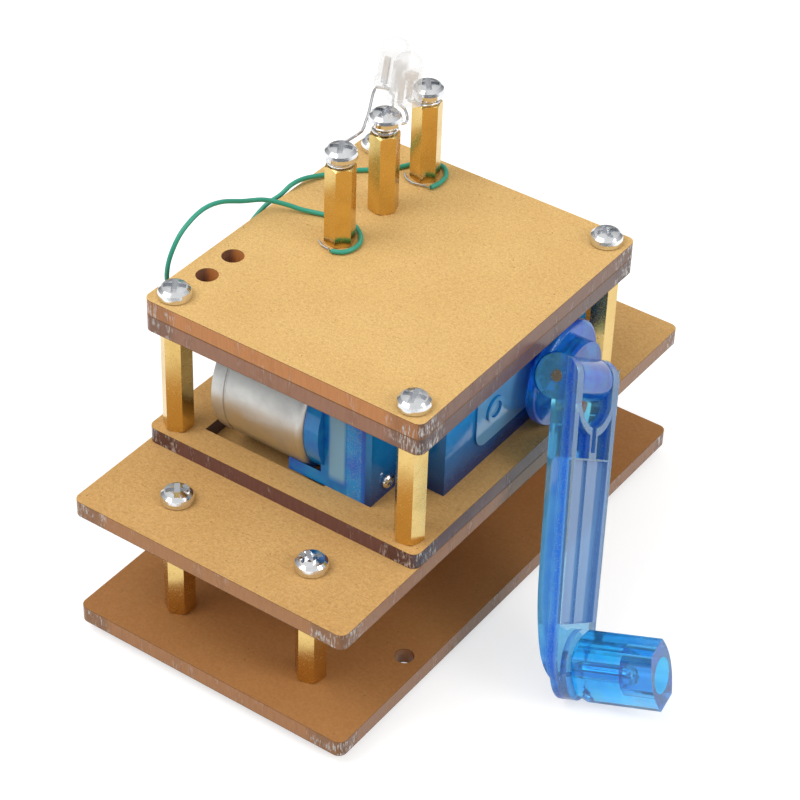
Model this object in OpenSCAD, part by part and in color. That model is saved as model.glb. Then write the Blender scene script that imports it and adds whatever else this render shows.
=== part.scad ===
// Hand crank generator kit: two long plates and a deck of three short ones on hex standoffs,
// a geared hand crank and a motor between them, and three terminal posts with two lamps on top.
// Millimetres. The origin is the centre of the base plate's underside.
// X runs out of the crank's side, Y runs along the long plates and Z is up.

/* [Plates] */
// Width of every plate, across the crank's axis
plate_w = 54; // [50:0.5:64]
// Length of the base plate and the middle plate
plate_l = 100; // [94:1:130]
// Length of the cradle plate and the two top plates
deck_l = 62; // [60:0.5:74]
// Thickness of one plate with its two masking films
plate_t = 3; // [2.6:0.1:4]
// Thickness of one masking film
film_t = 0.1; // [0.05:0.01:0.2]
// Radius of the plates' corners
corner_r = 1.5; // [1:0.1:4]
// Diameter of the clearance holes for the screws
plate_hole_d = 3.35; // [3.2:0.05:3.6]
// Diameter of the two spare holes in the top plates
spare_hole_d = 3.8; // [3.2:0.1:4.4]
// Distance between the two spare holes
spare_pitch = 6.7; // [6:0.1:9]

/* [Standoffs] */
// Width across the flats of every hex standoff
hex_af = 4.6; // [4.4:0.1:5.4]
// Height of the short standoffs under the middle plate
short_h = 20; // [19:0.5:26]
// Height of the tall standoffs, which is the height of the gearbox's room
tall_h = 20; // [19.6:0.1:22]
// Height of the terminal posts
post_h = 15; // [14:0.5:22]
// Distance between the short standoffs across the plates
foot_pitch_x = 27; // [24:0.5:30]
// Distance between the short standoffs along the plates
foot_pitch_y = 80; // [76:0.5:82]
// Distance between the tall standoffs across the plates
deck_pitch_x = 46.5; // [46:0.1:47]
// Distance between the tall standoffs along the plates
deck_pitch_y = 55; // [54.5:0.1:56]
// Distance between one terminal post and the next
post_pitch = 12.2; // [11.6:0.1:13]

/* [Screws] */
// Diameter of the main screws
screw_d = 3; // [2.9:0.05:3]
// Diameter of the main screws' pan heads
head_d = 5.6; // [5.2:0.1:5.8]
// Height of the main screws' pan heads
head_h = 2.2; // [1.8:0.1:2.4]
// Depth that a main screw reaches into its standoff
grip_l = 6; // [4:0.5:6.4]

/* [Motor] */
// Diameter of the motor's can
can_d = 24; // [22:0.1:24.4]
// Length of the motor's can
can_l = 18; // [17:0.1:18.5]
// Thickness of the can's wall
can_wall = 0.8; // [0.6:0.05:1]
// Diameter of the motor's shaft
motor_shaft_d = 2; // [1.8:0.1:2.2]

/* [Gear train] */
// Module of every gear
gear_module = 0.5; // [0.49:0.005:0.51]
// Number of teeth on each wheel
wheel_teeth = 27; // [26:1:27]
// Number of teeth on each pinion
pinion_teeth = 10; // [10:1:11]
// Face width of each wheel
wheel_face = 2; // [1.6:0.1:2.2]
// Diameter of the crank's shaft
crank_shaft_d = 3; // [2.6:0.1:3]
// Diameter of the two idlers' axles
idler_axle_d = 2; // [1.6:0.1:2.2]

/* [Gearbox] */
// Wall of the two gearbox shells
shell_wall = 1.2; // [1:0.1:1.4]
// Depth of the rear shell, along the crank's axis
rear_shell_l = 8.7; // [8.6:0.1:9]
// Depth of the front cover's chamber, past its flange
cover_l = 7.7; // [7.6:0.05:7.9]
// Length of the rear shell and of the cover's flange
shell_w = 50.4; // [50:0.1:51]
// Diameter of the gearbox screws
case_screw_d = 1.6; // [1.4:0.1:1.8]

/* [Crank] */
// Distance from the hinge pin to the knob's axis
arm_l = 46.4; // [44:0.2:50]
// Width of the arm over its two ears
arm_w = 17.4; // [17:0.1:18]
// Width of the arm's end, below the knob
arm_end_w = 14.6; // [13:0.1:15.4]
// Thickness of one ear
ear_t = 2.6; // [2.2:0.1:2.8]
// Radius of the ears round the hinge pin
ear_r = 3.75; // [3.5:0.05:3.85]
// Diameter of the hinge pin
pin_d = 2; // [1.6:0.1:2.4]
// Diameter of the hub's disc
hub_d = 18.8; // [17:0.1:19.2]
// Thickness of the hub's disc
hub_t = 2.3; // [2:0.1:2.4]
// Angle of the arm from hanging straight down, about the crank's shaft
crank_angle = 35; // [0:1:60]
// Angle that the arm leans out from square to the shaft
arm_lean = 18; // [0:1:30]
// Length of the knob
knob_l = 13.9; // [12:0.1:16]
// Larger size of the knob's section
knob_h = 11; // [10:0.2:12]
// Smaller size of the knob's section, over its crowned sides
knob_w = 8.2; // [7.6:0.1:9]
// Width of the knob's two flat edges
knob_flat_w = 4.9; // [4:0.1:5.2]
// Diameter of the knob's deep hole
knob_hole_d = 6; // [5.6:0.1:6.4]
// Diameter of the knob's axle screw
knob_axle_d = 2.6; // [2:0.1:2.8]

/* [Lamps and wires] */
// Diameter of a lamp's lens
lamp_d = 5; // [4.8:0.1:5]
// Length of a lamp's lens, from its base to its top
lamp_l = 8.6; // [8:0.1:9]
// Diameter of a lamp's rim
lamp_rim_d = 5.8; // [5.4:0.1:5.8]
// Diameter of a lamp's bare leads
lead_d = 0.5; // [0.45:0.01:0.55]
// Diameter of the green wires over their insulation
wire_d = 0.8; // [0.7:0.05:0.95]
// Diameter of the green wires' bare strand
strand_d = 0.4; // [0.3:0.05:0.5]

/* [Hidden] */

$fn = 48;
// Overrun of every cut past the face it opens
cut = 1;
// Gap round a piece that is fixed in its seat
seat_gap = 0.02;
// Radial gap round a shaft or pin that runs
run_gap = 0.05;
// Gap between pieces that move past each other
side_gap = 0.3;

// Levels of the plates' undersides
middle_z = plate_t + short_h;
cradle_z = middle_z + plate_t;
gearbox_z = cradle_z + plate_t;
lower_top_z = gearbox_z + tall_h;
upper_top_z = lower_top_z + plate_t;
deck_top_z = upper_top_z + plate_t;
post_top_z = deck_top_z + post_h;

// Places of the standoffs and the posts, on the plates
foot_places = [for (sx = [-1, 1]) for (sy = [-1, 1]) [sx * foot_pitch_x / 2, sy * foot_pitch_y / 2]];
deck_places = [for (sx = [-1, 1]) for (sy = [-1, 1]) [sx * deck_pitch_x / 2, sy * deck_pitch_y / 2]];
post_row_x = -11.7;
post_first_y = 0.9;
post_places = [for (i = [0:2]) [post_row_x, post_first_y + i * post_pitch]];
spare_x = -22.8;
spare_first_y = -19.9;
spare_places = [for (i = [0, 1]) [spare_x, spare_first_y + i * spare_pitch]];

// How each hex piece and each screw head is turned, in degrees
foot_turns = [24, 24, 18, 30];
deck_turns = [24, 10, 11, 24];
post_turns = [49, 50, 46];
foot_screw_turns = [10, 35, 60, 80];
middle_screw_turns = [38, 12, 62, 25];
deck_screw_turns = [20, 50, 75, 5];
top_screw_turns = [33, 60, 15, 52];
post_screw_turns = [28, 8, 40];

// Screws
screw_r = screw_d / 2;
thread_bore_r = screw_r + seat_gap;
head_r = head_d / 2;
head_shares = [[0, 0], [0.93, 0], [1, 0.1], [1, 0.42], [0.94, 0.66], [0.76, 0.87], [0.42, 0.98], [0, 1]];
recess_w_share = 0.17;
recess_l_share = 0.66;
recess_depth_share = 0.55;
through_one = plate_t + grip_l;
through_two = 2 * plate_t + grip_l;
hex_chamfer = 0.35;

// Opening in the cradle plate and the lower top plate for the motor
motor_window_side = 9.8;
motor_window_back = 3.2;
post_head_hole_d = 7;

// Shaft line: every gear's axis lies at this height
shaft_z = gearbox_z + tall_h / 2;
crank_y = 11.6;
wheel_r = gear_module * wheel_teeth / 2;
pinion_r = gear_module * pinion_teeth / 2;
gear_distance = wheel_r + pinion_r;
first_idler_y = crank_y - gear_distance;
second_idler_y = first_idler_y - gear_distance;
motor_y = second_idler_y - gear_distance;
pressure_angle = 25;
addendum = 0.85 * gear_module;
dedendum = 1.1 * gear_module;
tooth_thinning = 0.12 * gear_module;
flank_shares = [0, 0.35, 0.68, 1];

// Gearbox, along X
shell_back_x = 4.5;
flange_x = shell_back_x + rear_shell_l;
cover_back_x = flange_x + shell_wall;
cover_front_x = cover_back_x + cover_l;
shell_far_y = 24.8;
shell_near_y = shell_far_y - shell_w;
cover_near_y = -16.3;
chamber_rear_x = shell_back_x + shell_wall;
chamber_front_x = cover_front_x - shell_wall;
collar_l = 2.2;
collar_r = 11.2;
lip_l = 6.4;
lip_h = 2.5;
pad_t = 0.4;
pad_corner_r = 3;
pad_place_shares = [0.2, 0.2];
pad_size_shares = [0.72, 0.62];
boss_y = -3.2;
boss_r = 2.3;
boss_hole_r = 1.5;
boss_h = 0.9;
case_screw_r = case_screw_d / 2;
case_head_r = 1.35;
case_head_h = 1;
case_post_r = 1.75;
case_post_inset_z = 3.1;
near_post_inset = 4.1;
far_post_inset = 3.1;
near_post_y = shell_near_y + near_post_inset;
far_post_y = shell_far_y - far_post_inset;
near_posts = [for (s = [-1, 1]) [near_post_y, s * (tall_h / 2 - case_post_inset_z)]];
far_posts = [for (s = [-1, 1]) [far_post_y, s * (tall_h / 2 - case_post_inset_z)]];

// Gears, along X: the first pair is nearest the crank, the third at the motor
wheel_gap = 0.8;
wheel_to_flange = 0.2;
wheel_washer = 1;
crank_wheel_x = chamber_front_x - side_gap - wheel_face - wheel_washer;
first_wheel_x = crank_wheel_x - wheel_gap - wheel_face;
second_wheel_x = flange_x - wheel_to_flange - wheel_face;
pinion_overrun = 0.4;
first_pinion_end_x = crank_wheel_x + wheel_face + pinion_overrun;
second_pinion_x = first_wheel_x - pinion_overrun;
second_pinion_end_x = first_wheel_x + wheel_face + pinion_overrun;
motor_pinion_x = second_wheel_x - 4 * pinion_overrun;
motor_pinion_end_x = second_wheel_x + wheel_face - side_gap / 2;
axle_r = idler_axle_d / 2;
axle_boss_wall = 0.65;
axle_boss_r = axle_r + axle_boss_wall;
axle_end_x = cover_front_x - shell_wall / 2;
axle_start_x = shell_back_x + shell_wall / 2;
crank_shaft_r = crank_shaft_d / 2;
bush_wall = 1;
bush_r = crank_shaft_r + bush_wall;
front_bush_l = 2;
rear_bush_l = 2.8;
bush_proud = 0.1;
bush_boss_wall = 1;
bush_boss_r = bush_r + bush_boss_wall;

// Motor, along X from its rear rim
can_r = can_d / 2;
can_front_x = shell_back_x - collar_l - seat_gap;
can_rear_x = can_front_x - can_l;
can_fillet = 1.2;
can_floor = 1;
crimp_x = 2.6;
crimp_depth = 0.25;
can_boss_r = 3;
can_boss_l = 1.6;
cap_x = 0.6;
cap_t = 2;
cap_boss_r = 3.2;
cap_boss_l = 2;
motor_shaft_r = motor_shaft_d / 2;
motor_bush_wall = 1.1;
motor_bush_r = motor_shaft_r + motor_bush_wall;
motor_bush_l = 2.4;
magnet_t = 2.1;
magnet_l = 11;
magnet_x = 4;
magnet_gap_w = 7;
air_gap = 0.8;
rotor_r = can_r - can_wall - magnet_t - air_gap;
core_x = 5.6;
core_l = 8;
pole_w = 2.6;
pole_shoe_t = 1.1;
pole_slot_w = 2.2;
rotor_hub_r = 2.6;
winding_w = 6;
winding_proud = 1;
winding_room = 0.4;
winding_half_angle = 54;
commutator_x = 2.9;
commutator_l = 1.5;
commutator_r = 2.1;
commutator_slit = 0.3;
terminal_y = 4;
terminal_w = 2;
terminal_t = 0.4;
terminal_l = 2.4;
brush_w = 0.9;
brush_l = 1.1;
motor_screw_z = 6.4;
motor_screw_r = 1.15;
motor_screw_head_r = 1.9;
motor_screw_head_h = 1.3;
motor_screw_reach = 0.8;

// Crank: hub frame has X out along the shaft, Y along the hinge pin and Z away from the arm
hub_back_x = cover_front_x + pad_t + side_gap;
hub_boss_l = 1.9;
hub_boss_r = 5.2;
hub_disc_x = hub_back_x + hub_boss_l;
hub_front_x = hub_disc_x + hub_t;
hub_r = hub_d / 2;
hub_edge_r = 0.7;
pin_rise = 2.15;
pin_x = hub_front_x + pin_rise;
pin_r = pin_d / 2;
barrel_step = 0.05;
barrel_r = ear_r - barrel_step;
barrel_w = arm_w - 2 * ear_t - 2 * side_gap;
hump_r = 6.6;
hump_w = 11;
hump_low = 2.4;
hump_over = 0.3;
hump_end_x = pin_x + hump_over;
neck_w = 8;
neck_low = 1.6;
shaft_end_wall = 1.4;
hub_bore_end = pin_x - pin_r - shaft_end_wall;

// Arm: its frame has X out along the knob, Y along the pin and Z up towards the pin
face_step = 0.05;
arm_face = ear_r - face_step;
arm_back = 0.6;
bowl_z = 1;
bowl_over = 0.8;
bowl_r = arm_w / 2 - ear_t + bowl_over;
bowl_wall = 1.3;
arm_past_knob = 3.6;
arm_end_z = arm_l + arm_past_knob;
arm_corner_r = 5;
arm_corner_steps = 9;
back_curve_l = 18;
back_curve_d = 4.2;
back_curve_steps = 12;
arm_rim = 1.7;
recess_d = 0.9;
recess_top = 13.2;
recess_to_knob = 6.7;
recess_end = arm_l - recess_to_knob;
rib_w = 1.5;
rib_proud = 0.5;
pocket_d = 2.6;
pocket_top = 4.5;
pocket_end = 12.9;
pocket_wall = 1.5;
slot_w = 1.6;
slot_end = 11.9;
seat_r = 5.8;
seat_h = 1;
knob_gap = 0.3;
knob_in_x = arm_face + seat_h + knob_gap;
knob_out_x = knob_in_x + knob_l;
knob_turn = 34;
knob_chamfer = 1.2;
crown_steps = 8;
knob_hole_l = 6;
axle_head_r = 2.3;
axle_head_h = 1.8;
axle_head_gap = 0.15;
axle_tip = 1.9;
knob_axle_r = knob_axle_d / 2;

// Lamps: places of their bases, and how each leans, in degrees about X and Y
front_lamp_place = [-10.5, 16.6, 74.6];
front_lamp_lean = [-9, 0, 90];
rear_lamp_place = [-15.8, 20.1, 73.8];
rear_lamp_lean = [-13, 0, 0];
lamp_r = lamp_d / 2;
lamp_rim_r = lamp_rim_d / 2;
lamp_rim_h = 1;
lamp_flat = 2.55;
lead_pitch = 2.54;
lead_r = lead_d / 2;
frame_t = 0.5;
frame_w = 1;
frame_rise = 4.6;
cup_w = 1.6;
cup_h = 1.2;
round_sides = 8;

// Wraps of the leads round the posts' screws, from the post's top up
wrap_room = 0.3;
wrap_r = screw_r + lead_r + wrap_room;
lead_step = lead_d + 2 * seat_gap;
post_layers = [2.15, 3.25, 2.15];
wrap_points = 17;

// Routes of the leads, from the lamps to the posts, and of the two wires
lead_root = 0.3;
front_lead_to_middle = [[-9.9, 16, 73.5], [-9.4, 16, 72.4], [-9.2, 15.4, 71.45]];
front_lead_to_far = [[-10.4, 18.6, 73.5], [-10.8, 20, 72.6], [-11.2, 21.2, 71.5], [-11.3, 22.1, 70.6]];
rear_lead_to_middle = [[-14.2, 18.9, 73], [-13.6, 17.8, 72.2], [-13.1, 16.9, 71.2]];
rear_lead_to_near = [
    [-17.6, 18.7, 73.5], [-17, 17, 73.3], [-16, 15, 72.8], [-15.2, 13.2, 71.9], [-14.7, 11.7, 71.2],
    [-13.9, 9.7, 70.9], [-14, 6.6, 70.9], [-14.2, 3.9, 70.8]
];
middle_wrap_low = [1, 0, 110, 510];
middle_wrap_high = [1, 2.2, 35, -240];
near_wrap = [0, 0, 170, 570];
far_wrap = [2, 0, 300, 700];
near_wire_route = [
    [-18.3, -20.2, 39], [-21.5, -19.4, 39.5], [-26, -17.7, 41.6], [-29.4, -18, 44.6], [-31, -19.8, 49.2],
    [-30.8, -20.2, 53.2], [-30.3, -18.9, 57], [-30, -16.4, 59.4], [-29.8, -12.2, 60.6], [-29.5, -7.8, 59.9],
    [-28.5, -3.3, 58.1], [-26.6, 0, 57.4], [-24, 2, 56.6], [-21.4, 3.4, 55.8], [-18.3, 4.7, 55.5],
    [-15, 5.6, 55.5], [-12.2, 5.4, 55.5], [-9.8, 4, 55.5], [-8.3, 1.9, 55.5], [-8.1, -0.3, 55.5],
    [-9, -2.1, 55.5], [-10.6, -2.9, 55.5]
];
far_wire_route = [
    [-18.3, -12.2, 39], [-22, -11, 38.8], [-26, -8.4, 40.6], [-29, -5, 44.6], [-30.2, -1, 49.4],
    [-29.3, 3.2, 53], [-27.9, 6.2, 54.6], [-27.2, 8.2, 55.8], [-26.6, 10.9, 55.9], [-25.2, 13.9, 55.6],
    [-22, 18.4, 55.5], [-19.2, 21, 55.5], [-16.5, 23.9, 55.5], [-14.8, 26.7, 55.5], [-12.6, 28.8, 55.5],
    [-10.1, 28.8, 55.5], [-8.4, 26.8, 55.5], [-8, 24.4, 55.5], [-8.4, 22.4, 55.5]
];
strand_r = strand_d / 2;
strand_loop_r = 3.4;
strand_lift = 0.1;
strand_start = 0.2;
strand_points = 9;
near_strand_span = [274, 225];
far_strand_span = [303, 215];

// Small functions: directions, smooth routes and swept tubes
function unit(v) = v / norm(v);
function bend(a, b, c, d, t) = (2 * b + (c - a) * t + (2 * a - 5 * b + 4 * c - d) * t * t
    + (3 * b - a - 3 * c + d) * t * t * t) / 2;
function smooth(p, k) = concat([for (i = [0:len(p) - 2]) for (j = [0:k - 1])
    bend(p[max(i - 1, 0)], p[i], p[i + 1], p[min(i + 2, len(p) - 1)], j / k)], [p[len(p) - 1]]);
function tangents(p) = [for (i = [0:len(p) - 1]) unit(p[min(i + 1, len(p) - 1)] - p[max(i - 1, 0)])];
function carried(t, u, i) = i == len(t) - 1 ? [u]
    : concat([u], carried(t, unit(u - (u * t[i + 1]) * t[i + 1]), i + 1));
function across(t) = abs(t[2]) < 0.8 ? unit(cross(t, [0, 0, 1])) : unit(cross(t, [1, 0, 0]));
function ring_points(c, u, v, r, n) = [for (k = [0:n - 1])
    let (a = 360 * k / n) c + r * (cos(a) * u + sin(a) * v)];

// One solid tube along a route, square at both ends
module tube(route, r, sides) {
    t = tangents(route);
    u = carried(t, across(t[0]), 0);
    rings = len(route);
    points = [for (i = [0:rings - 1]) each ring_points(route[i], u[i], cross(t[i], u[i]), r, sides)];
    skin = [for (i = [0:rings - 2]) for (k = [0:sides - 1]) let (m = (k + 1) % sides)
        each [[i * sides + k, (i + 1) * sides + k, i * sides + m],
              [i * sides + m, (i + 1) * sides + k, (i + 1) * sides + m]]];
    start_cap = [for (k = [1:sides - 2]) [0, k, k + 1]];
    last = (rings - 1) * sides;
    end_cap = [for (k = [1:sides - 2]) [last, last + k + 1, last + k]];
    polyhedron(points, concat(skin, start_cap, end_cap));
}

// Turns local X and Y on to Y and Z, and local Z on to X, on a gear's axis
module along_x(x, y) {
    translate([x, y, shaft_z]) rotate([90, 0, 90]) children();
}

module at_places(places, turns, z) {
    for (i = [0:len(places) - 1])
        translate([places[i][0], places[i][1], z]) rotate([0, 0, turns[i]]) children();
}

module rounded_sheet(w, l, t) {
    linear_extrude(t) {
        square([w - 2 * corner_r, l], center = true);
        square([w, l - 2 * corner_r], center = true);
        for (sx = [-1, 1])
            for (sy = [-1, 1])
                translate([sx * (w / 2 - corner_r), sy * (l / 2 - corner_r)]) circle(corner_r);
    }
}

module holes(places, d, t) {
    for (p = places) translate([p[0], p[1], -cut]) cylinder(d = d, h = t + 2 * cut);
}

// Plates: each profile is cut once for the sheet and once for its two films
module base_profile(t) {
    difference() {
        rounded_sheet(plate_w, plate_l, t);
        holes(foot_places, plate_hole_d, t);
        holes(deck_places, plate_hole_d, t);
    }
}

module motor_window(t) {
    x_low = can_rear_x - motor_window_back;
    translate([x_low, motor_y - motor_window_side, -cut])
        cube([shell_back_x + shell_wall / 2 + side_gap - x_low, 2 * motor_window_side, t + 2 * cut]);
}

module cradle_profile(t) {
    difference() {
        rounded_sheet(plate_w, deck_l, t);
        holes(deck_places, plate_hole_d, t);
        motor_window(t);
    }
}

module lower_top_profile(t) {
    difference() {
        cradle_profile(t);
        holes(post_places, post_head_hole_d, t);
        holes(spare_places, spare_hole_d, t);
    }
}

module upper_top_profile(t) {
    difference() {
        rounded_sheet(plate_w, deck_l, t);
        holes(deck_places, plate_hole_d, t);
        holes(post_places, plate_hole_d, t);
        holes(spare_places, spare_hole_d, t);
    }
}

sheet_t = plate_t - 2 * film_t;

module base_plate() {
    color("peru", 0.6) translate([0, 0, film_t]) base_profile(sheet_t);
}

module middle_plate() {
    color("peru", 0.6) translate([0, 0, middle_z + film_t]) base_profile(sheet_t);
}

module cradle_plate() {
    color("peru", 0.6) translate([0, 0, cradle_z + film_t]) cradle_profile(sheet_t);
}

module lower_top_plate() {
    color("peru", 0.6) translate([0, 0, lower_top_z + film_t]) lower_top_profile(sheet_t);
}

module upper_top_plate() {
    color("peru", 0.6) translate([0, 0, upper_top_z + film_t]) upper_top_profile(sheet_t);
}

module both_films(z) {
    for (dz = [0, plate_t - film_t]) translate([0, 0, z + dz]) children();
}

module base_plate_films() {
    color("burlywood") both_films(0) base_profile(film_t);
}

module middle_plate_films() {
    color("burlywood") both_films(middle_z) base_profile(film_t);
}

module cradle_plate_films() {
    color("burlywood") both_films(cradle_z) cradle_profile(film_t);
}

module lower_top_plate_films() {
    color("burlywood") both_films(lower_top_z) lower_top_profile(film_t);
}

module upper_top_plate_films() {
    color("burlywood") both_films(upper_top_z) upper_top_profile(film_t);
}

// Hex standoff with chamfered ends and a bore right through
module hex_standoff(h) {
    corner = hex_af / 2 / cos(30);
    difference() {
        intersection() {
            cylinder(r = corner, h = h, $fn = 6);
            rotate_extrude() polygon([[0, 0], [corner - hex_chamfer, 0], [corner, hex_chamfer],
                [corner, h - hex_chamfer], [corner - hex_chamfer, h], [0, h]]);
        }
        translate([0, 0, -cut]) cylinder(r = thread_bore_r, h = h + 2 * cut);
    }
}

module short_standoffs() {
    color("goldenrod") at_places(foot_places, foot_turns, plate_t) hex_standoff(short_h);
}

module tall_standoffs() {
    color("goldenrod") at_places(deck_places, deck_turns, gearbox_z) hex_standoff(tall_h);
}

module terminal_posts() {
    color("goldenrod") at_places(post_places, post_turns, deck_top_z) hex_standoff(post_h);
}

// Pan head screw with a cross recess: its seat is at zero, the head above and the shank below
module pan_screw(l, r, hr, hh) {
    difference() {
        union() {
            rotate_extrude() polygon([for (s = head_shares) [s[0] * hr, s[1] * hh]]);
            translate([0, 0, -l]) cylinder(r = r, h = l + hh / 4);
        }
        for (turn = [0, 90])
            rotate([0, 0, turn])
                translate([-recess_l_share * hr, -recess_w_share * hr, hh * (1 - recess_depth_share)])
                    cube([2 * recess_l_share * hr, 2 * recess_w_share * hr, hh]);
    }
}

module main_screw(l) {
    pan_screw(l, screw_r, head_r, head_h);
}

module foot_screws() {
    color("gainsboro") at_places(foot_places, foot_screw_turns, 0)
        rotate([180, 0, 0]) main_screw(through_one);
}

module middle_plate_screws() {
    color("gainsboro") at_places(foot_places, middle_screw_turns, cradle_z) main_screw(through_one);
}

module deck_screws() {
    color("gainsboro") at_places(deck_places, deck_screw_turns, middle_z)
        rotate([180, 0, 0]) main_screw(through_two);
}

module top_screws() {
    color("gainsboro") at_places(deck_places, top_screw_turns, deck_top_z) main_screw(through_two);
}

module post_base_screws() {
    color("gainsboro") at_places(post_places, post_screw_turns, upper_top_z)
        rotate([180, 0, 0]) main_screw(through_one);
}

module post_top_screws() {
    color("gainsboro")
        for (i = [0:2])
            translate([post_places[i][0], post_places[i][1], post_top_z + post_layers[i] * lead_step])
                rotate([0, 0, post_screw_turns[i]]) main_screw(grip_l);
}

// Motor: every piece is drawn from the can's rear rim
module on_motor(x) {
    along_x(can_rear_x + x, motor_y) children();
}

module motor_can() {
    color("silver") on_motor(0) difference() {
        union() {
            rotate_extrude() {
                square([can_r, can_l - can_fillet]);
                square([can_r - can_fillet, can_l]);
                translate([can_r - can_fillet, can_l - can_fillet]) circle(can_fillet);
            }
            cylinder(r = can_boss_r, h = can_l + can_boss_l);
        }
        translate([0, 0, -cut]) cylinder(r = can_r - can_wall, h = can_l - can_floor + cut);
        cylinder(r = motor_bush_r + seat_gap, h = can_l + can_boss_l + cut);
        rotate_extrude() translate([can_r, crimp_x]) circle(crimp_depth);
        for (s = [-1, 1])
            translate([0, s * motor_screw_z, can_l - can_floor - cut])
                cylinder(r = motor_screw_r + seat_gap, h = can_floor + 2 * cut);
    }
}

module motor_end_cap() {
    color("ivory") on_motor(0) difference() {
        union() {
            translate([0, 0, cap_x]) cylinder(r = can_r - can_wall - seat_gap, h = cap_t);
            translate([0, 0, cap_x - cap_boss_l]) cylinder(r = cap_boss_r, h = cap_boss_l + cap_t);
        }
        translate([0, 0, cap_x - cap_boss_l - cut])
            cylinder(r = motor_bush_r + seat_gap, h = cap_boss_l + cap_t + 2 * cut);
        for (s = [-1, 1])
            translate([s * terminal_y - terminal_t / 2 - seat_gap, -terminal_w / 2 - seat_gap, -cut])
                cube([terminal_t + 2 * seat_gap, terminal_w + 2 * seat_gap, cap_x + cap_t + 2 * cut]);
    }
}

module motor_terminals() {
    color("goldenrod") on_motor(0)
        for (s = [-1, 1])
            translate([s * terminal_y - terminal_t / 2, -terminal_w / 2, -terminal_l])
                cube([terminal_t, terminal_w, terminal_l + cap_x + cap_t]);
}

module motor_brushes() {
    color("dimgray") on_motor(cap_x + cap_t)
        for (s = [-1, 1]) scale([s, 1, 1]) {
            translate([terminal_y - terminal_t / 2, -terminal_w / 2, 0])
                cube([terminal_t, terminal_w, commutator_l]);
            translate([commutator_r + run_gap, -brush_w / 2, commutator_l - brush_l])
                cube([terminal_y - commutator_r - run_gap, brush_w, brush_l]);
        }
}

module motor_magnets() {
    outer = can_r - can_wall - seat_gap;
    color("dimgray") on_motor(magnet_x) difference() {
        cylinder(r = outer, h = magnet_l);
        translate([0, 0, -cut]) cylinder(r = outer - magnet_t, h = magnet_l + 2 * cut);
        translate([-magnet_gap_w / 2, -can_r, -cut]) cube([magnet_gap_w, 2 * can_r, magnet_l + 2 * cut]);
    }
}

module small_bush(outer, inner, l) {
    difference() {
        cylinder(r = outer, h = l);
        translate([0, 0, -cut]) cylinder(r = inner, h = l + 2 * cut);
    }
}

module motor_bushes() {
    color("peru") {
        on_motor(cap_x - cap_boss_l) small_bush(motor_bush_r, motor_shaft_r + run_gap, motor_bush_l);
        on_motor(can_l + can_boss_l - motor_bush_l)
            small_bush(motor_bush_r, motor_shaft_r + run_gap, motor_bush_l);
    }
}

module motor_screws() {
    l = shell_wall + collar_l + can_floor + motor_screw_reach;
    color("gainsboro")
        for (s = [-1, 1])
            along_x(chamber_rear_x, motor_y) translate([0, s * motor_screw_z, 0])
                pan_screw(l, motor_screw_r, motor_screw_head_r, motor_screw_head_h);
}

module motor_shaft() {
    start = cap_x - cap_boss_l - bush_proud;
    color("lightgray") on_motor(start)
        cylinder(r = motor_shaft_r, h = motor_pinion_end_x - can_rear_x - start);
}

module rotor_outline() {
    difference() {
        circle(rotor_r);
        circle(rotor_r - pole_shoe_t);
        for (k = [0:2])
            rotate(120 * k + 60) translate([0, -pole_slot_w / 2]) square([rotor_r + cut, pole_slot_w]);
    }
    for (k = [0:2]) rotate(120 * k) translate([0, -pole_w / 2]) square([rotor_r - pole_shoe_t / 2, pole_w]);
    circle(rotor_hub_r);
}

module rotor_core() {
    color("slategray") on_motor(core_x) difference() {
        linear_extrude(core_l) rotor_outline();
        translate([0, 0, -cut]) cylinder(r = motor_shaft_r + seat_gap, h = core_l + 2 * cut);
    }
}

module rotor_windings() {
    start = rotor_hub_r + winding_room;
    winding_r = rotor_r - pole_shoe_t - winding_room;
    l = core_l + 2 * winding_proud;
    wedge_h = 2 * rotor_r * tan(winding_half_angle);
    color("chocolate") on_motor(core_x - winding_proud)
        for (k = [0:2]) rotate([0, 0, 120 * k]) difference() {
            intersection() {
                translate([start, -winding_w / 2, 0]) cube([winding_r, winding_w, l]);
                linear_extrude(l) polygon([[0, 0], [2 * rotor_r, -wedge_h], [2 * rotor_r, wedge_h]]);
                cylinder(r = winding_r, h = l);
            }
            translate([0, -pole_w / 2 - seat_gap, winding_proud - seat_gap])
                cube([rotor_r, pole_w + 2 * seat_gap, core_l + 2 * seat_gap]);
        }
}

module commutator() {
    color("darkgoldenrod") on_motor(commutator_x) difference() {
        cylinder(r = commutator_r, h = commutator_l);
        translate([0, 0, -cut]) cylinder(r = motor_shaft_r + seat_gap, h = commutator_l + 2 * cut);
        for (k = [0:2])
            rotate([0, 0, 120 * k])
                translate([motor_shaft_r + commutator_slit, -commutator_slit / 2, commutator_slit])
                    cube([commutator_r, commutator_slit, commutator_l]);
    }
}

// Involute gear: a tooth's middle points along local X
function inv(a) = tan(a) - a * PI / 180;
function half_tooth(r, pitch_r, teeth) = 90 / teeth - tooth_thinning / pitch_r * 180 / PI
    + (inv(pressure_angle) - inv(acos(min(1, pitch_r * cos(pressure_angle) / r)))) * 180 / PI;
function polar(r, a) = [r * cos(a), r * sin(a)];
function flank(teeth, a, side) = let (p = gear_module * teeth / 2)
    [for (s = flank_shares)
        let (r = p - dedendum + (addendum + dedendum) * s) polar(r, a + side * half_tooth(r, p, teeth))];
function tooth_points(teeth, a) = let (rising = flank(teeth, a, -1), falling = flank(teeth, a, 1))
    concat(rising, [for (i = [len(falling) - 1:-1:0]) falling[i]]);

module gear_disc(teeth, face) {
    linear_extrude(face) polygon([for (k = [0:teeth - 1]) each tooth_points(teeth, 360 * k / teeth)]);
}

module wheel(x, y) {
    along_x(x, y) rotate([0, 0, 180]) gear_disc(wheel_teeth, wheel_face);
}

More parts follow.
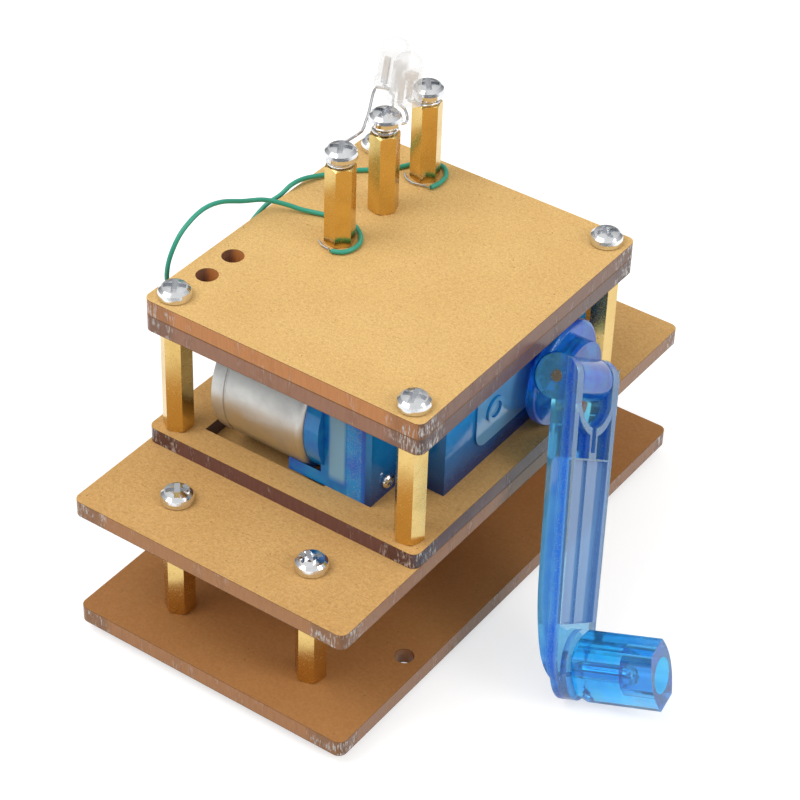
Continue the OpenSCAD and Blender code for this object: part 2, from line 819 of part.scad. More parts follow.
module pinion(x, end_x, y) {
    along_x(x, y) rotate([0, 0, 180 / pinion_teeth]) gear_disc(pinion_teeth, end_x - x);
}

module bore(x, end_x, y, r) {
    along_x(x - cut, y) cylinder(r = r, h = end_x - x + 2 * cut);
}

module motor_pinion() {
    color("khaki") difference() {
        pinion(motor_pinion_x, motor_pinion_end_x, motor_y);
        bore(motor_pinion_x, motor_pinion_end_x, motor_y, motor_shaft_r + seat_gap);
    }
}

module crank_gear() {
    color("white") difference() {
        wheel(crank_wheel_x, crank_y);
        bore(crank_wheel_x, crank_wheel_x + wheel_face, crank_y, crank_shaft_r + seat_gap);
    }
}

module first_idler_gear() {
    color("white") difference() {
        union() {
            wheel(first_wheel_x, first_idler_y);
            pinion(first_wheel_x + wheel_face / 2, first_pinion_end_x, first_idler_y);
        }
        bore(first_wheel_x, first_pinion_end_x, first_idler_y, axle_r + run_gap);
    }
}

module second_idler_gear() {
    color("white") difference() {
        union() {
            wheel(second_wheel_x, second_idler_y);
            along_x(second_wheel_x + wheel_face / 2, second_idler_y)
                cylinder(r = pinion_r - dedendum, h = second_pinion_end_x - second_wheel_x - wheel_face / 2);
            pinion(second_pinion_x, second_pinion_end_x, second_idler_y);
        }
        bore(second_wheel_x, second_pinion_end_x, second_idler_y, axle_r + run_gap);
    }
}

module first_idler_axle() {
    color("lightgray") along_x(axle_start_x, first_idler_y)
        cylinder(r = axle_r, h = axle_end_x - axle_start_x);
}

module second_idler_axle() {
    color("lightgray") along_x(axle_start_x, second_idler_y)
        cylinder(r = axle_r, h = axle_end_x - axle_start_x);
}

// Gearbox: two shells that meet at the cover's flange
module box_between(x, end_x, y, end_y, z, end_z) {
    translate([x, y, z]) cube([end_x - x, end_y - y, end_z - z]);
}

module chamber(x, end_x, near_y) {
    box_between(x, end_x, near_y + shell_wall, shell_far_y - shell_wall,
        gearbox_z + shell_wall, gearbox_z + tall_h - shell_wall);
}

module boss_along(x, end_x, y, r) {
    along_x(x, y) cylinder(r = r, h = end_x - x);
}

module motor_lips() {
    difference() {
        box_between(shell_back_x - lip_l, shell_back_x + shell_wall / 2, shell_near_y,
            2 * motor_y - shell_near_y, gearbox_z, gearbox_z + lip_h);
        bore(shell_back_x - lip_l, shell_back_x, motor_y, can_r + side_gap / 3);
    }
}

module gearbox_rear_shell() {
    first_boss_end = first_wheel_x - side_gap;
    second_boss_end = second_wheel_x - side_gap;
    bush_boss_end = chamber_rear_x + rear_bush_l - shell_wall / 2;
    color("royalblue", 0.6) difference() {
        union() {
            difference() {
                box_between(shell_back_x, flange_x, shell_near_y, shell_far_y, gearbox_z, gearbox_z + tall_h);
                chamber(chamber_rear_x, flange_x + cut, shell_near_y);
            }
            along_x(shell_back_x - collar_l, motor_y) cylinder(r = collar_r, h = collar_l + shell_wall / 2);
            motor_lips();
            for (p = concat(near_posts, far_posts))
                translate([chamber_rear_x - shell_wall / 2, p[0], shaft_z + p[1]]) rotate([0, 90, 0])
                    cylinder(r = case_post_r, h = flange_x - chamber_rear_x + shell_wall / 2);
            boss_along(chamber_rear_x - shell_wall / 2, first_boss_end, first_idler_y, axle_boss_r);
            boss_along(chamber_rear_x - shell_wall / 2, second_boss_end, second_idler_y, axle_boss_r);
            boss_along(chamber_rear_x - shell_wall / 2, bush_boss_end, crank_y, bush_boss_r);
        }
        along_x(shell_back_x - collar_l - cut, motor_y)
            cylinder(r = can_boss_r + run_gap, h = collar_l + shell_wall + 2 * cut);
        for (s = [-1, 1])
            along_x(shell_back_x - collar_l - cut, motor_y) translate([0, s * motor_screw_z, 0])
                cylinder(r = motor_screw_r + run_gap, h = collar_l + shell_wall + 2 * cut);
        boss_along(axle_start_x - seat_gap, first_boss_end + cut, first_idler_y, axle_r + seat_gap);
        boss_along(axle_start_x - seat_gap, second_boss_end + cut, second_idler_y, axle_r + seat_gap);
        boss_along(shell_back_x + shell_wall / 2, bush_boss_end + cut, crank_y, bush_r + seat_gap);
        for (p = concat(near_posts, far_posts))
            translate([shell_back_x - cut, p[0], shaft_z + p[1]]) rotate([0, 90, 0])
                cylinder(r = case_screw_r + seat_gap, h = rear_shell_l + 2 * cut);
    }
}

module cover_pad() {
    w = shell_far_y - cover_near_y;
    y = cover_near_y + w * pad_place_shares[0];
    z = gearbox_z + tall_h * pad_place_shares[1];
    l = w * pad_size_shares[0];
    h = tall_h * pad_size_shares[1];
    translate([cover_front_x - shell_wall / 2, y, z]) rotate([90, 0, 90])
        linear_extrude(shell_wall / 2 + pad_t) {
            translate([0, pad_corner_r]) square([l, h - 2 * pad_corner_r]);
            translate([pad_corner_r, 0]) square([l - 2 * pad_corner_r, h]);
            for (cx = [pad_corner_r, l - pad_corner_r])
                for (cy = [pad_corner_r, h - pad_corner_r])
                    translate([cx, cy]) circle(pad_corner_r);
        }
}

module gearbox_front_cover() {
    first_boss = first_pinion_end_x + side_gap;
    second_boss = second_pinion_end_x + side_gap;
    bush_boss = cover_front_x + bush_proud - front_bush_l;
    color("royalblue", 0.6) difference() {
        union() {
            difference() {
                union() {
                    box_between(flange_x, cover_back_x, shell_near_y, shell_far_y,
                        gearbox_z, gearbox_z + tall_h);
                    box_between(cover_back_x - shell_wall / 2, cover_front_x, cover_near_y, shell_far_y,
                        gearbox_z, gearbox_z + tall_h);
                    cover_pad();
                    boss_along(cover_front_x - shell_wall / 2, cover_front_x + boss_h, boss_y, boss_r);
                }
                chamber(flange_x - cut, chamber_front_x, cover_near_y);
            }
            for (p = far_posts)
                translate([flange_x, p[0], shaft_z + p[1]]) rotate([0, 90, 0])
                    cylinder(r = case_post_r, h = chamber_front_x - flange_x + shell_wall / 2);
            boss_along(first_boss, chamber_front_x + shell_wall / 4, first_idler_y, axle_boss_r);
            boss_along(second_boss, chamber_front_x + shell_wall / 4, second_idler_y, axle_boss_r);
            boss_along(bush_boss, chamber_front_x + shell_wall / 4, crank_y, bush_boss_r);
        }
        boss_along(cover_front_x + pad_t, cover_front_x + boss_h + cut, boss_y, boss_hole_r);
        boss_along(first_boss - cut, axle_end_x + seat_gap, first_idler_y, axle_r + seat_gap);
        boss_along(second_boss - cut, axle_end_x + seat_gap, second_idler_y, axle_r + seat_gap);
        boss_along(bush_boss - cut, cover_front_x + pad_t + cut, crank_y, bush_r + seat_gap);
        for (p = near_posts)
            translate([flange_x - cut, p[0], shaft_z + p[1]]) rotate([0, 90, 0])
                cylinder(r = case_screw_r + seat_gap, h = shell_wall + 2 * cut);
        for (p = far_posts)
            translate([flange_x - cut, p[0], shaft_z + p[1]]) rotate([0, 90, 0])
                cylinder(r = case_screw_r + seat_gap, h = chamber_front_x - flange_x + cut);
    }
}

module gearbox_screws() {
    near_l = shell_wall + rear_shell_l / 2;
    far_l = rear_shell_l + cover_l / 2;
    color("gainsboro") {
        for (p = near_posts)
            translate([cover_back_x, p[0], shaft_z + p[1]]) rotate([0, 90, 0])
                pan_screw(near_l, case_screw_r, case_head_r, case_head_h);
        for (p = far_posts)
            translate([shell_back_x, p[0], shaft_z + p[1]]) rotate([0, -90, 0])
                pan_screw(far_l, case_screw_r, case_head_r, case_head_h);
    }
}

module crank_bushes() {
    color("peru") {
        along_x(cover_front_x + bush_proud - front_bush_l, crank_y)
            small_bush(bush_r, crank_shaft_r + run_gap, front_bush_l);
        along_x(shell_back_x + shell_wall / 2, crank_y)
            small_bush(bush_r, crank_shaft_r + run_gap, rear_bush_l);
    }
}

module crank_shaft() {
    start = shell_back_x + shell_wall;
    color("lightgray") along_x(start, crank_y)
        cylinder(r = crank_shaft_r, h = hub_bore_end - seat_gap - start);
}

// Crank: the hub carries a barrel, and the arm's two ears turn on the pin through it
module in_hub() {
    translate([0, crank_y, shaft_z]) rotate([-crank_angle, 0, 0]) children();
}

module in_arm() {
    in_hub() translate([pin_x, 0, 0]) rotate([0, -arm_lean, 0]) children();
}

module disc_x(x, r, h) {
    translate([x, 0, 0]) rotate([0, 90, 0]) cylinder(r = r, h = h);
}

module bar_y(r, w) {
    translate([0, w / 2, 0]) rotate([90, 0, 0]) cylinder(r = r, h = w);
}

module crank_hub() {
    color("royalblue", 0.6) in_hub() difference() {
        union() {
            disc_x(hub_back_x, hub_boss_r, hub_boss_l + hub_t / 2);
            translate([hub_disc_x, 0, 0]) rotate([0, 90, 0]) rotate_extrude() {
                square([hub_r - hub_edge_r, hub_t]);
                translate([0, hub_edge_r]) square([hub_r, hub_t - 2 * hub_edge_r]);
                for (y = [hub_edge_r, hub_t - hub_edge_r])
                    translate([hub_r - hub_edge_r, y]) circle(hub_edge_r);
            }
            intersection() {
                disc_x(hub_front_x - hub_t / 2, hump_r, hump_end_x - hub_front_x + hub_t / 2);
                translate([hub_front_x - hub_t / 2, -hump_w / 2, hump_low - hub_t])
                    cube([hump_end_x - hub_front_x + hub_t / 2, hump_w, hump_r]);
            }
            translate([hub_front_x - hub_t / 2, -neck_w / 2, -neck_low])
                cube([pin_x - hub_front_x + hub_t / 2, neck_w, 2 * neck_low + hump_low - hub_t]);
            translate([pin_x, 0, 0]) bar_y(barrel_r, barrel_w);
        }
        disc_x(hub_back_x - cut, crank_shaft_r + seat_gap, hub_bore_end - hub_back_x + cut);
        translate([pin_x, 0, 0]) bar_y(pin_r + run_gap, barrel_w + 2 * cut);
        for (s = [-1, 1])
            translate([pin_x, s * (barrel_w + hub_r) / 2, 0]) bar_y(ear_r + side_gap, hub_r);
    }
}

module hinge_pin() {
    color("lightgray") in_arm() bar_y(pin_r, arm_w - seat_gap);
}

// Outline of the arm seen along the knob: across it, and down it from the pin
function arm_half(z) = arm_w / 2 + (arm_end_w - arm_w) / 2 * z / arm_l;
arm_plan = concat(
    [[-arm_w / 2, 0], [-arm_half(arm_end_z - arm_corner_r), arm_end_z - arm_corner_r]],
    [for (k = [1:arm_corner_steps - 1]) let (a = 90 * k / arm_corner_steps)
        [-arm_half(arm_end_z) + arm_corner_r * (1 - cos(a)), arm_end_z - arm_corner_r * (1 - sin(a))]],
    [for (k = [arm_corner_steps - 1:-1:1]) let (a = 90 * k / arm_corner_steps)
        [arm_half(arm_end_z) - arm_corner_r * (1 - cos(a)), arm_end_z - arm_corner_r * (1 - sin(a))]],
    [[arm_half(arm_end_z - arm_corner_r), arm_end_z - arm_corner_r], [arm_w / 2, 0]]);

// Outline of the arm seen along the pin: its back curves out to the face at the end
arm_side = concat(
    [[arm_face, 0], [-arm_back, 0]],
    [for (k = [0:back_curve_steps]) let (a = 90 * k / back_curve_steps)
        [-arm_back + back_curve_d * (1 - cos(a)), arm_end_z - back_curve_l * (1 - sin(a))]],
    [[arm_face, arm_end_z]]);

module plan_cut(x, end_x) {
    translate([x, 0, 0]) rotate([90, 0, 90]) linear_extrude(end_x - x) mirror([0, 1]) children();
}

module inner_plan(top, end, inset) {
    polygon([[-arm_half(top) + inset, top], [-arm_half(end) + inset, end],
        [arm_half(end) - inset, end], [arm_half(top) - inset, top]]);
}

// Opening between the two ears: straight sides with a round floor
module bowl_between_ears() {
    deep = 2 * (ear_r + cut);
    intersection() {
        translate([-ear_r - cut, ear_t - arm_w / 2, -arm_l])
            cube([deep, arm_w - 2 * ear_t, arm_l + ear_r + cut]);
        union() {
            translate([0, 0, -bowl_z]) disc_x(-ear_r - cut, bowl_r, deep);
            translate([-ear_r - cut, -arm_w / 2, -bowl_z]) cube([deep, arm_w, bowl_z + ear_r + cut]);
        }
    }
}

module crank_arm() {
    color("royalblue", 0.6) in_arm() difference() {
        union() {
            intersection() {
                plan_cut(-arm_back - cut, arm_face) polygon(arm_plan);
                translate([0, arm_w / 2, 0]) rotate([90, 0, 0]) linear_extrude(arm_w)
                    mirror([0, 1]) polygon(arm_side);
            }
            bar_y(ear_r, arm_w);
            translate([0, 0, -arm_l]) disc_x(arm_face / 2, seat_r, arm_face / 2 + seat_h);
        }
        bowl_between_ears();
        bar_y(pin_r + seat_gap, arm_w + 2 * cut);
        plan_cut(arm_face - recess_d, arm_face + cut) difference() {
            inner_plan(recess_top, recess_end, arm_rim);
            translate([-rib_w / 2, 0]) square([rib_w, arm_l]);
        }
        plan_cut(arm_face - rib_proud, arm_face + cut) inner_plan(recess_top, recess_end, arm_rim);
        plan_cut(arm_face - pocket_d, arm_face + cut) difference() {
            inner_plan(pocket_top, pocket_end, arm_rim);
            translate([-pocket_wall, 0]) square([2 * pocket_wall, arm_l]);
            translate([0, bowl_z]) circle(bowl_r + bowl_wall);
        }
        plan_cut(arm_face - pocket_d, arm_face + cut)
            translate([-slot_w / 2, bowl_z]) square([slot_w, slot_end - bowl_z]);
        translate([axle_tip - seat_gap, 0, -arm_l]) disc_x(0, knob_axle_r + seat_gap, knob_in_x);
    }
}

module knob_axle() {
    seat = knob_out_x - knob_hole_l + axle_head_gap;
    color("gainsboro") in_arm() translate([seat, 0, -arm_l]) rotate([0, 90, 0])
        pan_screw(seat - axle_tip, knob_axle_r, axle_head_r, axle_head_h);
}

// Section of the knob: two flat edges and two crowned sides
knob_section = concat(
    [for (k = [0:crown_steps]) let (t = 2 * k / crown_steps - 1)
        [knob_flat_w / 2 + (knob_w - knob_flat_w) / 2 * (1 - t * t), t * knob_h / 2]],
    [for (k = [crown_steps:-1:0]) let (t = 2 * k / crown_steps - 1)
        [-knob_flat_w / 2 - (knob_w - knob_flat_w) / 2 * (1 - t * t), t * knob_h / 2]]);

module crank_knob() {
    round_r = norm([knob_h / 2, knob_flat_w / 2]);
    color("dodgerblue", 0.6) in_arm() translate([knob_in_x, 0, -arm_l]) difference() {
        intersection() {
            rotate([knob_turn, 0, 0]) rotate([90, 0, 90]) linear_extrude(knob_l) polygon(knob_section);
            rotate([0, 90, 0]) union() {
                cylinder(r1 = round_r - knob_chamfer, r2 = round_r + seat_gap, h = knob_chamfer);
                translate([0, 0, knob_chamfer]) cylinder(r = round_r + seat_gap, h = knob_l);
            }
        }
        disc_x(-cut, knob_axle_r + run_gap, knob_l + 2 * cut);
        disc_x(knob_l - knob_hole_l, knob_hole_d / 2, knob_hole_l + cut);
    }
}

// Lamps: clear lens with its two leads' frame set in it
module at_lamp(place, lean) {
    translate(place) rotate([lean[0], lean[1], 0]) rotate([0, 0, lean[2]]) children();
}

module lamp_frame(grow) {
    translate([-lead_pitch / 2 - frame_w / 2 - grow, -frame_t / 2 - grow, -cut])
        cube([frame_w + 2 * grow, frame_t + 2 * grow, frame_rise + cut + grow]);
    translate([lead_pitch / 2 - frame_w / 2 - grow, -frame_t / 2 - grow, -cut])
        cube([frame_w + 2 * grow, frame_t + 2 * grow, frame_rise - cup_h + cut + grow]);
    translate([lead_pitch / 2 - cup_w / 2 - grow, -cup_w / 2 - grow, frame_rise - cup_h - grow])
        cube([cup_w + 2 * grow, cup_w + 2 * grow, cup_h + 2 * grow]);
}

module lamp_lens() {
    difference() {
        union() {
            cylinder(r = lamp_rim_r, h = lamp_rim_h);
            cylinder(r = lamp_r, h = lamp_l - lamp_r);
            translate([0, 0, lamp_l - lamp_r]) sphere(lamp_r);
        }
        translate([lamp_flat, -lamp_rim_r, -cut]) cube([lamp_rim_r, 2 * lamp_rim_r, lamp_rim_h + cut]);
        lamp_frame(seat_gap);
    }
}

// Place of a lead under a lamp, at a distance below its base
function about_z(p, a) = [p[0] * cos(a) - p[1] * sin(a), p[0] * sin(a) + p[1] * cos(a), p[2]];
function about_x(p, a) = [p[0], p[1] * cos(a) - p[2] * sin(a), p[1] * sin(a) + p[2] * cos(a)];
function about_y(p, a) = [p[0] * cos(a) + p[2] * sin(a), p[1], p[2] * cos(a) - p[0] * sin(a)];
function turned(p, lean) = about_y(about_x(about_z(p, lean[2]), lean[0]), lean[1]);
function lead_start(place, lean, side, down) = place + turned([side * lead_pitch / 2, 0, -down], lean);

// Open turn round a post's screw: the post, its first layer, and the angles it runs between
function wrap(w) = [for (k = [0:wrap_points]) let (a = w[2] + (w[3] - w[2]) * k / wrap_points)
    [post_places[w[0]][0] + wrap_r * cos(a), post_places[w[0]][1] + wrap_r * sin(a),
        post_top_z + lead_r + seat_gap + lead_step * (w[1] + (w[3] > 360 ? (a - w[2]) / 360 : 0))]];

module lead(place, lean, side, route, w) {
    roots = [for (down = [-lead_root, lead_root]) lead_start(place, lean, side, down)];
    turn = wrap(w);
    rest = [for (k = [1:wrap_points]) turn[k]];
    tube(concat(roots, smooth(concat(route, [turn[0]]), 2), rest), lead_r, round_sides);
}

module front_lamp_lens() {
    color("white", 0.5) at_lamp(front_lamp_place, front_lamp_lean) lamp_lens();
}

module rear_lamp_lens() {
    color("white", 0.5) at_lamp(rear_lamp_place, rear_lamp_lean) lamp_lens();
}

module frame_pieces() {
    intersection() {
        lamp_frame(0);
        translate([-lamp_r, -lamp_r, seat_gap]) cube([2 * lamp_r, 2 * lamp_r, lamp_l]);
    }
}

module front_lamp_leads() {
    color("lightgray") {
        at_lamp(front_lamp_place, front_lamp_lean) frame_pieces();
        lead(front_lamp_place, front_lamp_lean, -1, front_lead_to_middle, middle_wrap_high);
        lead(front_lamp_place, front_lamp_lean, 1, front_lead_to_far, far_wrap);
    }
}

module rear_lamp_leads() {
    color("lightgray") {
        at_lamp(rear_lamp_place, rear_lamp_lean) frame_pieces();
        lead(rear_lamp_place, rear_lamp_lean, -1, rear_lead_to_middle, middle_wrap_low);
        lead(rear_lamp_place, rear_lamp_lean, 1, rear_lead_to_near, near_wrap);
    }
}

// Wires: insulation along each route, and the bare strand round the post's foot
module near_wire() {
    color("seagreen") tube(smooth(near_wire_route, 2), wire_d / 2, round_sides);
}

module far_wire() {
    color("seagreen") tube(smooth(far_wire_route, 2), wire_d / 2, round_sides);
}

function past_end(p) = let (last = len(p) - 1) p[last] + strand_start * unit(p[last] - p[last - 1]);
function strand_route(wire, post, span) = concat([past_end(wire)], [for (k = [0:strand_points])
    let (a = span[0] + (span[1] - span[0]) * k / strand_points)
    [post_places[post][0] + strand_loop_r * cos(a), post_places[post][1] + strand_loop_r * sin(a),
        deck_top_z + strand_r + strand_lift]]);

module wire_strands() {
    color("silver") {
        tube(strand_route(near_wire_route, 0, near_strand_span), strand_r, round_sides);
        tube(strand_route(far_wire_route, 2, far_strand_span), strand_r, round_sides);
    }
}

base_plate();
middle_plate();
cradle_plate();
lower_top_plate();
upper_top_plate();
base_plate_films();
middle_plate_films();
cradle_plate_films();
lower_top_plate_films();
upper_top_plate_films();
short_standoffs();
tall_standoffs();
terminal_posts();
foot_screws();
middle_plate_screws();
deck_screws();
top_screws();
post_base_screws();
post_top_screws();
motor_can();
motor_end_cap();
motor_terminals();
motor_brushes();
motor_magnets();
motor_bushes();
motor_screws();
motor_shaft();
rotor_core();
rotor_windings();
commutator();
motor_pinion();
gearbox_rear_shell();
gearbox_front_cover();
gearbox_screws();
crank_bushes();
crank_shaft();
crank_gear();
first_idler_gear();
first_idler_axle();
second_idler_gear();
second_idler_axle();
crank_hub();
hinge_pin();
crank_arm();
knob_axle();
crank_knob();
front_lamp_lens();
front_lamp_leads();
rear_lamp_lens();
rear_lamp_leads();
near_wire();
far_wire();
wire_strands();
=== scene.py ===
"""Looks of a hand crank generator kit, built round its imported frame.

All lengths are in metres unless a name ends in mm.
"""

import logging
import math
from dataclasses import dataclass
from enum import Enum
from typing import Iterable, NamedTuple, Sequence

import bpy
from mathutils import Euler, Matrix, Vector


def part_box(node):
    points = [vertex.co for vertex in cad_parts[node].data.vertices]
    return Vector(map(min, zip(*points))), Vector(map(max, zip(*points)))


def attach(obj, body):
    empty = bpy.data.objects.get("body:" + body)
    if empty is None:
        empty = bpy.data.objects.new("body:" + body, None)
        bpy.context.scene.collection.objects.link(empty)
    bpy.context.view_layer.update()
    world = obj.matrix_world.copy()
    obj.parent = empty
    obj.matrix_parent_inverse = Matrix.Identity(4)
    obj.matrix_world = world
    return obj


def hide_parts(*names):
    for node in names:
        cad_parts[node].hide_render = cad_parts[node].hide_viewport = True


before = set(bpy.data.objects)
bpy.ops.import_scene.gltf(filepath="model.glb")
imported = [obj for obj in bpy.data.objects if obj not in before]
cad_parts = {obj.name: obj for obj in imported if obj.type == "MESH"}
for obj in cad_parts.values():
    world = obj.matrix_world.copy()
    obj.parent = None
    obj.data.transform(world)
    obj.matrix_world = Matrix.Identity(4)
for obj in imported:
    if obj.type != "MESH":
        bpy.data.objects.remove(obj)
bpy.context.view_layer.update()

log = logging.getLogger("hand_crank_generator")
MM = 0.001
Triple = tuple[float, float, float]
Colour = Triple
Span = tuple[float, float]
Socket = bpy.types.NodeSocket

UNSTRETCHED: Triple = (1.0, 1.0, 1.0)
UNTURNED: Triple = (0.0, 0.0, 0.0)
WHITE: Colour = (1.0, 1.0, 1.0)
# Places of the colour sockets on a mix node, where several sockets have the same name.
MIX_A, MIX_B, MIX_RESULT = 6, 7, 2


class Slot(Enum):
    """Material slots of the record that pieces take their finish from."""

    ACRYLIC = "acrylic"
    FILM = "masking_film"
    BRASS = "brass"
    ZINC = "zinc_plate"
    CAN = "motor_steel"
    SHAFT = "shaft_steel"
    CORE = "core_steel"
    COPPER = "copper"
    BRONZE = "bearing_bronze"
    BLUE = "blue_plastic"
    WHITE = "white_plastic"
    LENS = "lamp_resin"
    TINNED = "tinned_wire"
    GREEN = "green_insulation"


def mm(*values: float) -> Vector:
    """Gives a point written in millimetres as a vector in metres."""
    return Vector(values) * MM


def add_object(name: str, data: bpy.types.ID) -> bpy.types.Object:
    """Puts a new object into the scene.

    Args:
        name: name of the object.
        data: its mesh, curve, camera or light.

    Returns:
        The object.
    """
    made = bpy.data.objects.new(name, data)
    bpy.context.scene.collection.objects.link(made)
    return made


class Graph:
    """Builds the node tree of a material or of the world in short calls."""

    def __init__(self, owner: bpy.types.Material | bpy.types.World,
                 output: str = "ShaderNodeOutputMaterial") -> None:
        """Starts an empty tree.

        Args:
            owner: material or world that the tree belongs to.
            output: Blender's name of its output node.
        """
        owner.use_nodes = True
        self.tree = owner.node_tree
        self.tree.nodes.clear()
        self.output = self.node(output)

    def node(self, kind: str, **settings: object) -> bpy.types.Node:
        """Adds a node and sets its properties.

        Args:
            kind: Blender's name of the node type.
            **settings: properties of the node.

        Returns:
            The new node.
        """
        made = self.tree.nodes.new(kind)
        for key, value in settings.items():
            setattr(made, key, value)
        return made

    def feed(self, socket: Socket, value: object) -> None:
        """Links a socket to an input, or sets the input to a plain value.

        Args:
            socket: input to fill.
            value: an output socket, a number or a colour.
        """
        if isinstance(value, Socket):
            self.tree.links.new(value, socket)
        elif isinstance(value, tuple) and len(value) == 3 and len(socket.default_value) == 4:
            socket.default_value = (*value, 1.0)
        else:
            socket.default_value = value

    def place(self, stretch: Triple = UNSTRETCHED, turn: Triple = UNTURNED) -> Socket:
        """Gives object coordinates, stretched and turned.

        Args:
            stretch: factors along the three axes.
            turn: angles about the three axes, in degrees.

        Returns:
            The vector socket.
        """
        coords = self.node("ShaderNodeTexCoord")
        mapping = self.node("ShaderNodeMapping")
        self.feed(mapping.inputs["Vector"], coords.outputs["Object"])
        mapping.inputs["Rotation"].default_value = [math.radians(a) for a in turn]
        mapping.inputs["Scale"].default_value = stretch
        return mapping.outputs["Vector"]

    def noise(self, size_mm: float, detail: float = 3.0, roughness: float = 0.55,
              stretch: Triple = UNSTRETCHED, turn: Triple = UNTURNED) -> Socket:
        """Gives a noise whose features are about as large as asked.

        Args:
            size_mm: size of a feature, in millimetres.
            detail: number of finer layers.
            roughness: weight of the finer layers.
            stretch: factors along the axes, where a small one makes long streaks.
            turn: angles that turn the streaks, in degrees.

        Returns:
            The noise's value socket.
        """
        made = self.node("ShaderNodeTexNoise")
        self.feed(made.inputs["Vector"], self.place(stretch, turn))
        made.inputs["Scale"].default_value = 1.0 / (size_mm * MM)
        made.inputs["Detail"].default_value = detail
        made.inputs["Roughness"].default_value = roughness
        return made.outputs["Fac"]

    def cells(self, size_mm: float) -> Socket:
        """Gives the distance to the nearest of a scatter of points.

        Args:
            size_mm: distance between the points, in millimetres.

        Returns:
            The distance socket.
        """
        made = self.node("ShaderNodeTexVoronoi")
        self.feed(made.inputs["Vector"], self.place())
        made.inputs["Scale"].default_value = 1.0 / (size_mm * MM)
        return made.outputs["Distance"]

    def ramp(self, value: Socket, stops: Sequence[tuple[float, Colour]]) -> Socket:
        """Turns a value into a colour.

        Args:
            value: socket that drives the ramp.
            stops: places and colours, in order.

        Returns:
            The colour socket.
        """
        made = self.node("ShaderNodeValToRGB")
        for element, (place, colour) in zip(made.color_ramp.elements, stops, strict=True):
            element.position = place
            element.color = (*colour, 1.0)
        self.feed(made.inputs["Fac"], value)
        return made.outputs["Color"]

    def span(self, value: Socket, low: float, high: float,
             out_low: float = 0.0, out_high: float = 1.0) -> Socket:
        """Maps one range of a value on to another, and clamps it.

        Args:
            value: socket to map.
            low: value that gives out_low.
            high: value that gives out_high.
            out_low: result at low.
            out_high: result at high.

        Returns:
            The mapped socket.
        """
        made = self.node("ShaderNodeMapRange")
        self.feed(made.inputs["Value"], value)
        made.inputs["From Min"].default_value = low
        made.inputs["From Max"].default_value = high
        made.inputs["To Min"].default_value = out_low
        made.inputs["To Max"].default_value = out_high
        return made.outputs["Result"]

    def span_mm(self, value: Socket, limits_mm: Span,
                out_low: float = 0.0, out_high: float = 1.0) -> Socket:
        """Maps a stretch of a length on to another range, and clamps it.

        Args:
            value: socket of a length in metres.
            limits_mm: start and end of the stretch, in millimetres.
            out_low: result at the start.
            out_high: result at the end.

        Returns:
            The mapped socket.
        """
        low_mm, high_mm = limits_mm
        return self.span(value, low_mm * MM, high_mm * MM, out_low, out_high)

    def window(self, value: Socket, limits_mm: Span, fade_mm: float) -> Socket:
        """Masks the stretch of a length between two limits.

        Args:
            value: socket of a length in metres.
            limits_mm: start and end of the stretch, in millimetres.
            fade_mm: width of the soft edges.

        Returns:
            The mask's socket.
        """
        low_mm, high_mm = limits_mm
        rise = self.span_mm(value, (low_mm, low_mm + fade_mm))
        fall = self.span_mm(value, (high_mm - fade_mm, high_mm), 1.0, 0.0)
        return self.times(rise, fall)

    def maths(self, operation: str, a: object, b: object = 0.0) -> Socket:
        """Combines two values.

        Args:
            operation: Blender's name of the operation.
            a: first socket or number.
            b: second socket or number.

        Returns:
            The result's socket.
        """
        made = self.node("ShaderNodeMath", operation=operation)
        self.feed(made.inputs[0], a)
        self.feed(made.inputs[1], b)
        return made.outputs["Value"]

    def times(self, a: object, b: object) -> Socket:
        """Multiplies two values."""
        return self.maths("MULTIPLY", a, b)

    def blend(self, factor: object, a: object, b: object) -> Socket:
        """Mixes two colours.

        Args:
            factor: share of the second colour.
            a: first socket or colour.
            b: second socket or colour.

        Returns:
            The mixed colour's socket.
        """
        made = self.node("ShaderNodeMix", data_type="RGBA", blend_type="MIX")
        self.feed(made.inputs["Factor"], factor)
        self.feed(made.inputs[MIX_A], a)
        self.feed(made.inputs[MIX_B], b)
        return made.outputs[MIX_RESULT]

    def axis(self, letter: str, kind: str = "Object") -> Socket:
        """Gives one part of a place or of the surface's normal.

        Args:
            letter: X, Y or Z.
            kind: Object for the place, Normal for the normal, or Generated for the world's sky.

        Returns:
            The value socket.
        """
        coords = self.node("ShaderNodeTexCoord")
        split = self.node("ShaderNodeSeparateXYZ")
        self.feed(split.inputs["Vector"], coords.outputs[kind])
        return split.outputs[letter]

    def facing(self, letter: str) -> Socket:
        """Gives how squarely a surface faces along an axis, one way or the other."""
        return self.maths("ABSOLUTE", self.axis(letter, "Normal"))

    def along(self, way: Triple, start_mm: float) -> Socket:
        """Measures a place along a direction.

        Args:
            way: unit vector of the direction.
            start_mm: where the measure starts, in millimetres from the origin.

        Returns:
            The measure's socket, in metres.
        """
        dot = self.node("ShaderNodeVectorMath", operation="DOT_PRODUCT")
        self.feed(dot.inputs[0], self.node("ShaderNodeTexCoord").outputs["Object"])
        dot.inputs[1].default_value = way
        return self.maths("SUBTRACT", dot.outputs["Value"], start_mm * MM)

    def bump(self, height: Socket, depth_mm: float, strength: float,
             normal: Socket | None = None) -> Socket:
        """Turns a height into a bent normal.

        Args:
            height: value from 0 to 1.
            depth_mm: real height that 1 stands for, in millimetres.
            strength: share of the effect.
            normal: normal of an earlier bump.

        Returns:
            The normal socket.
        """
        made = self.node("ShaderNodeBump")
        made.inputs["Distance"].default_value = depth_mm * MM
        made.inputs["Strength"].default_value = strength
        self.feed(made.inputs["Height"], height)
        if normal is not None:
            self.feed(made.inputs["Normal"], normal)
        return made.outputs["Normal"]

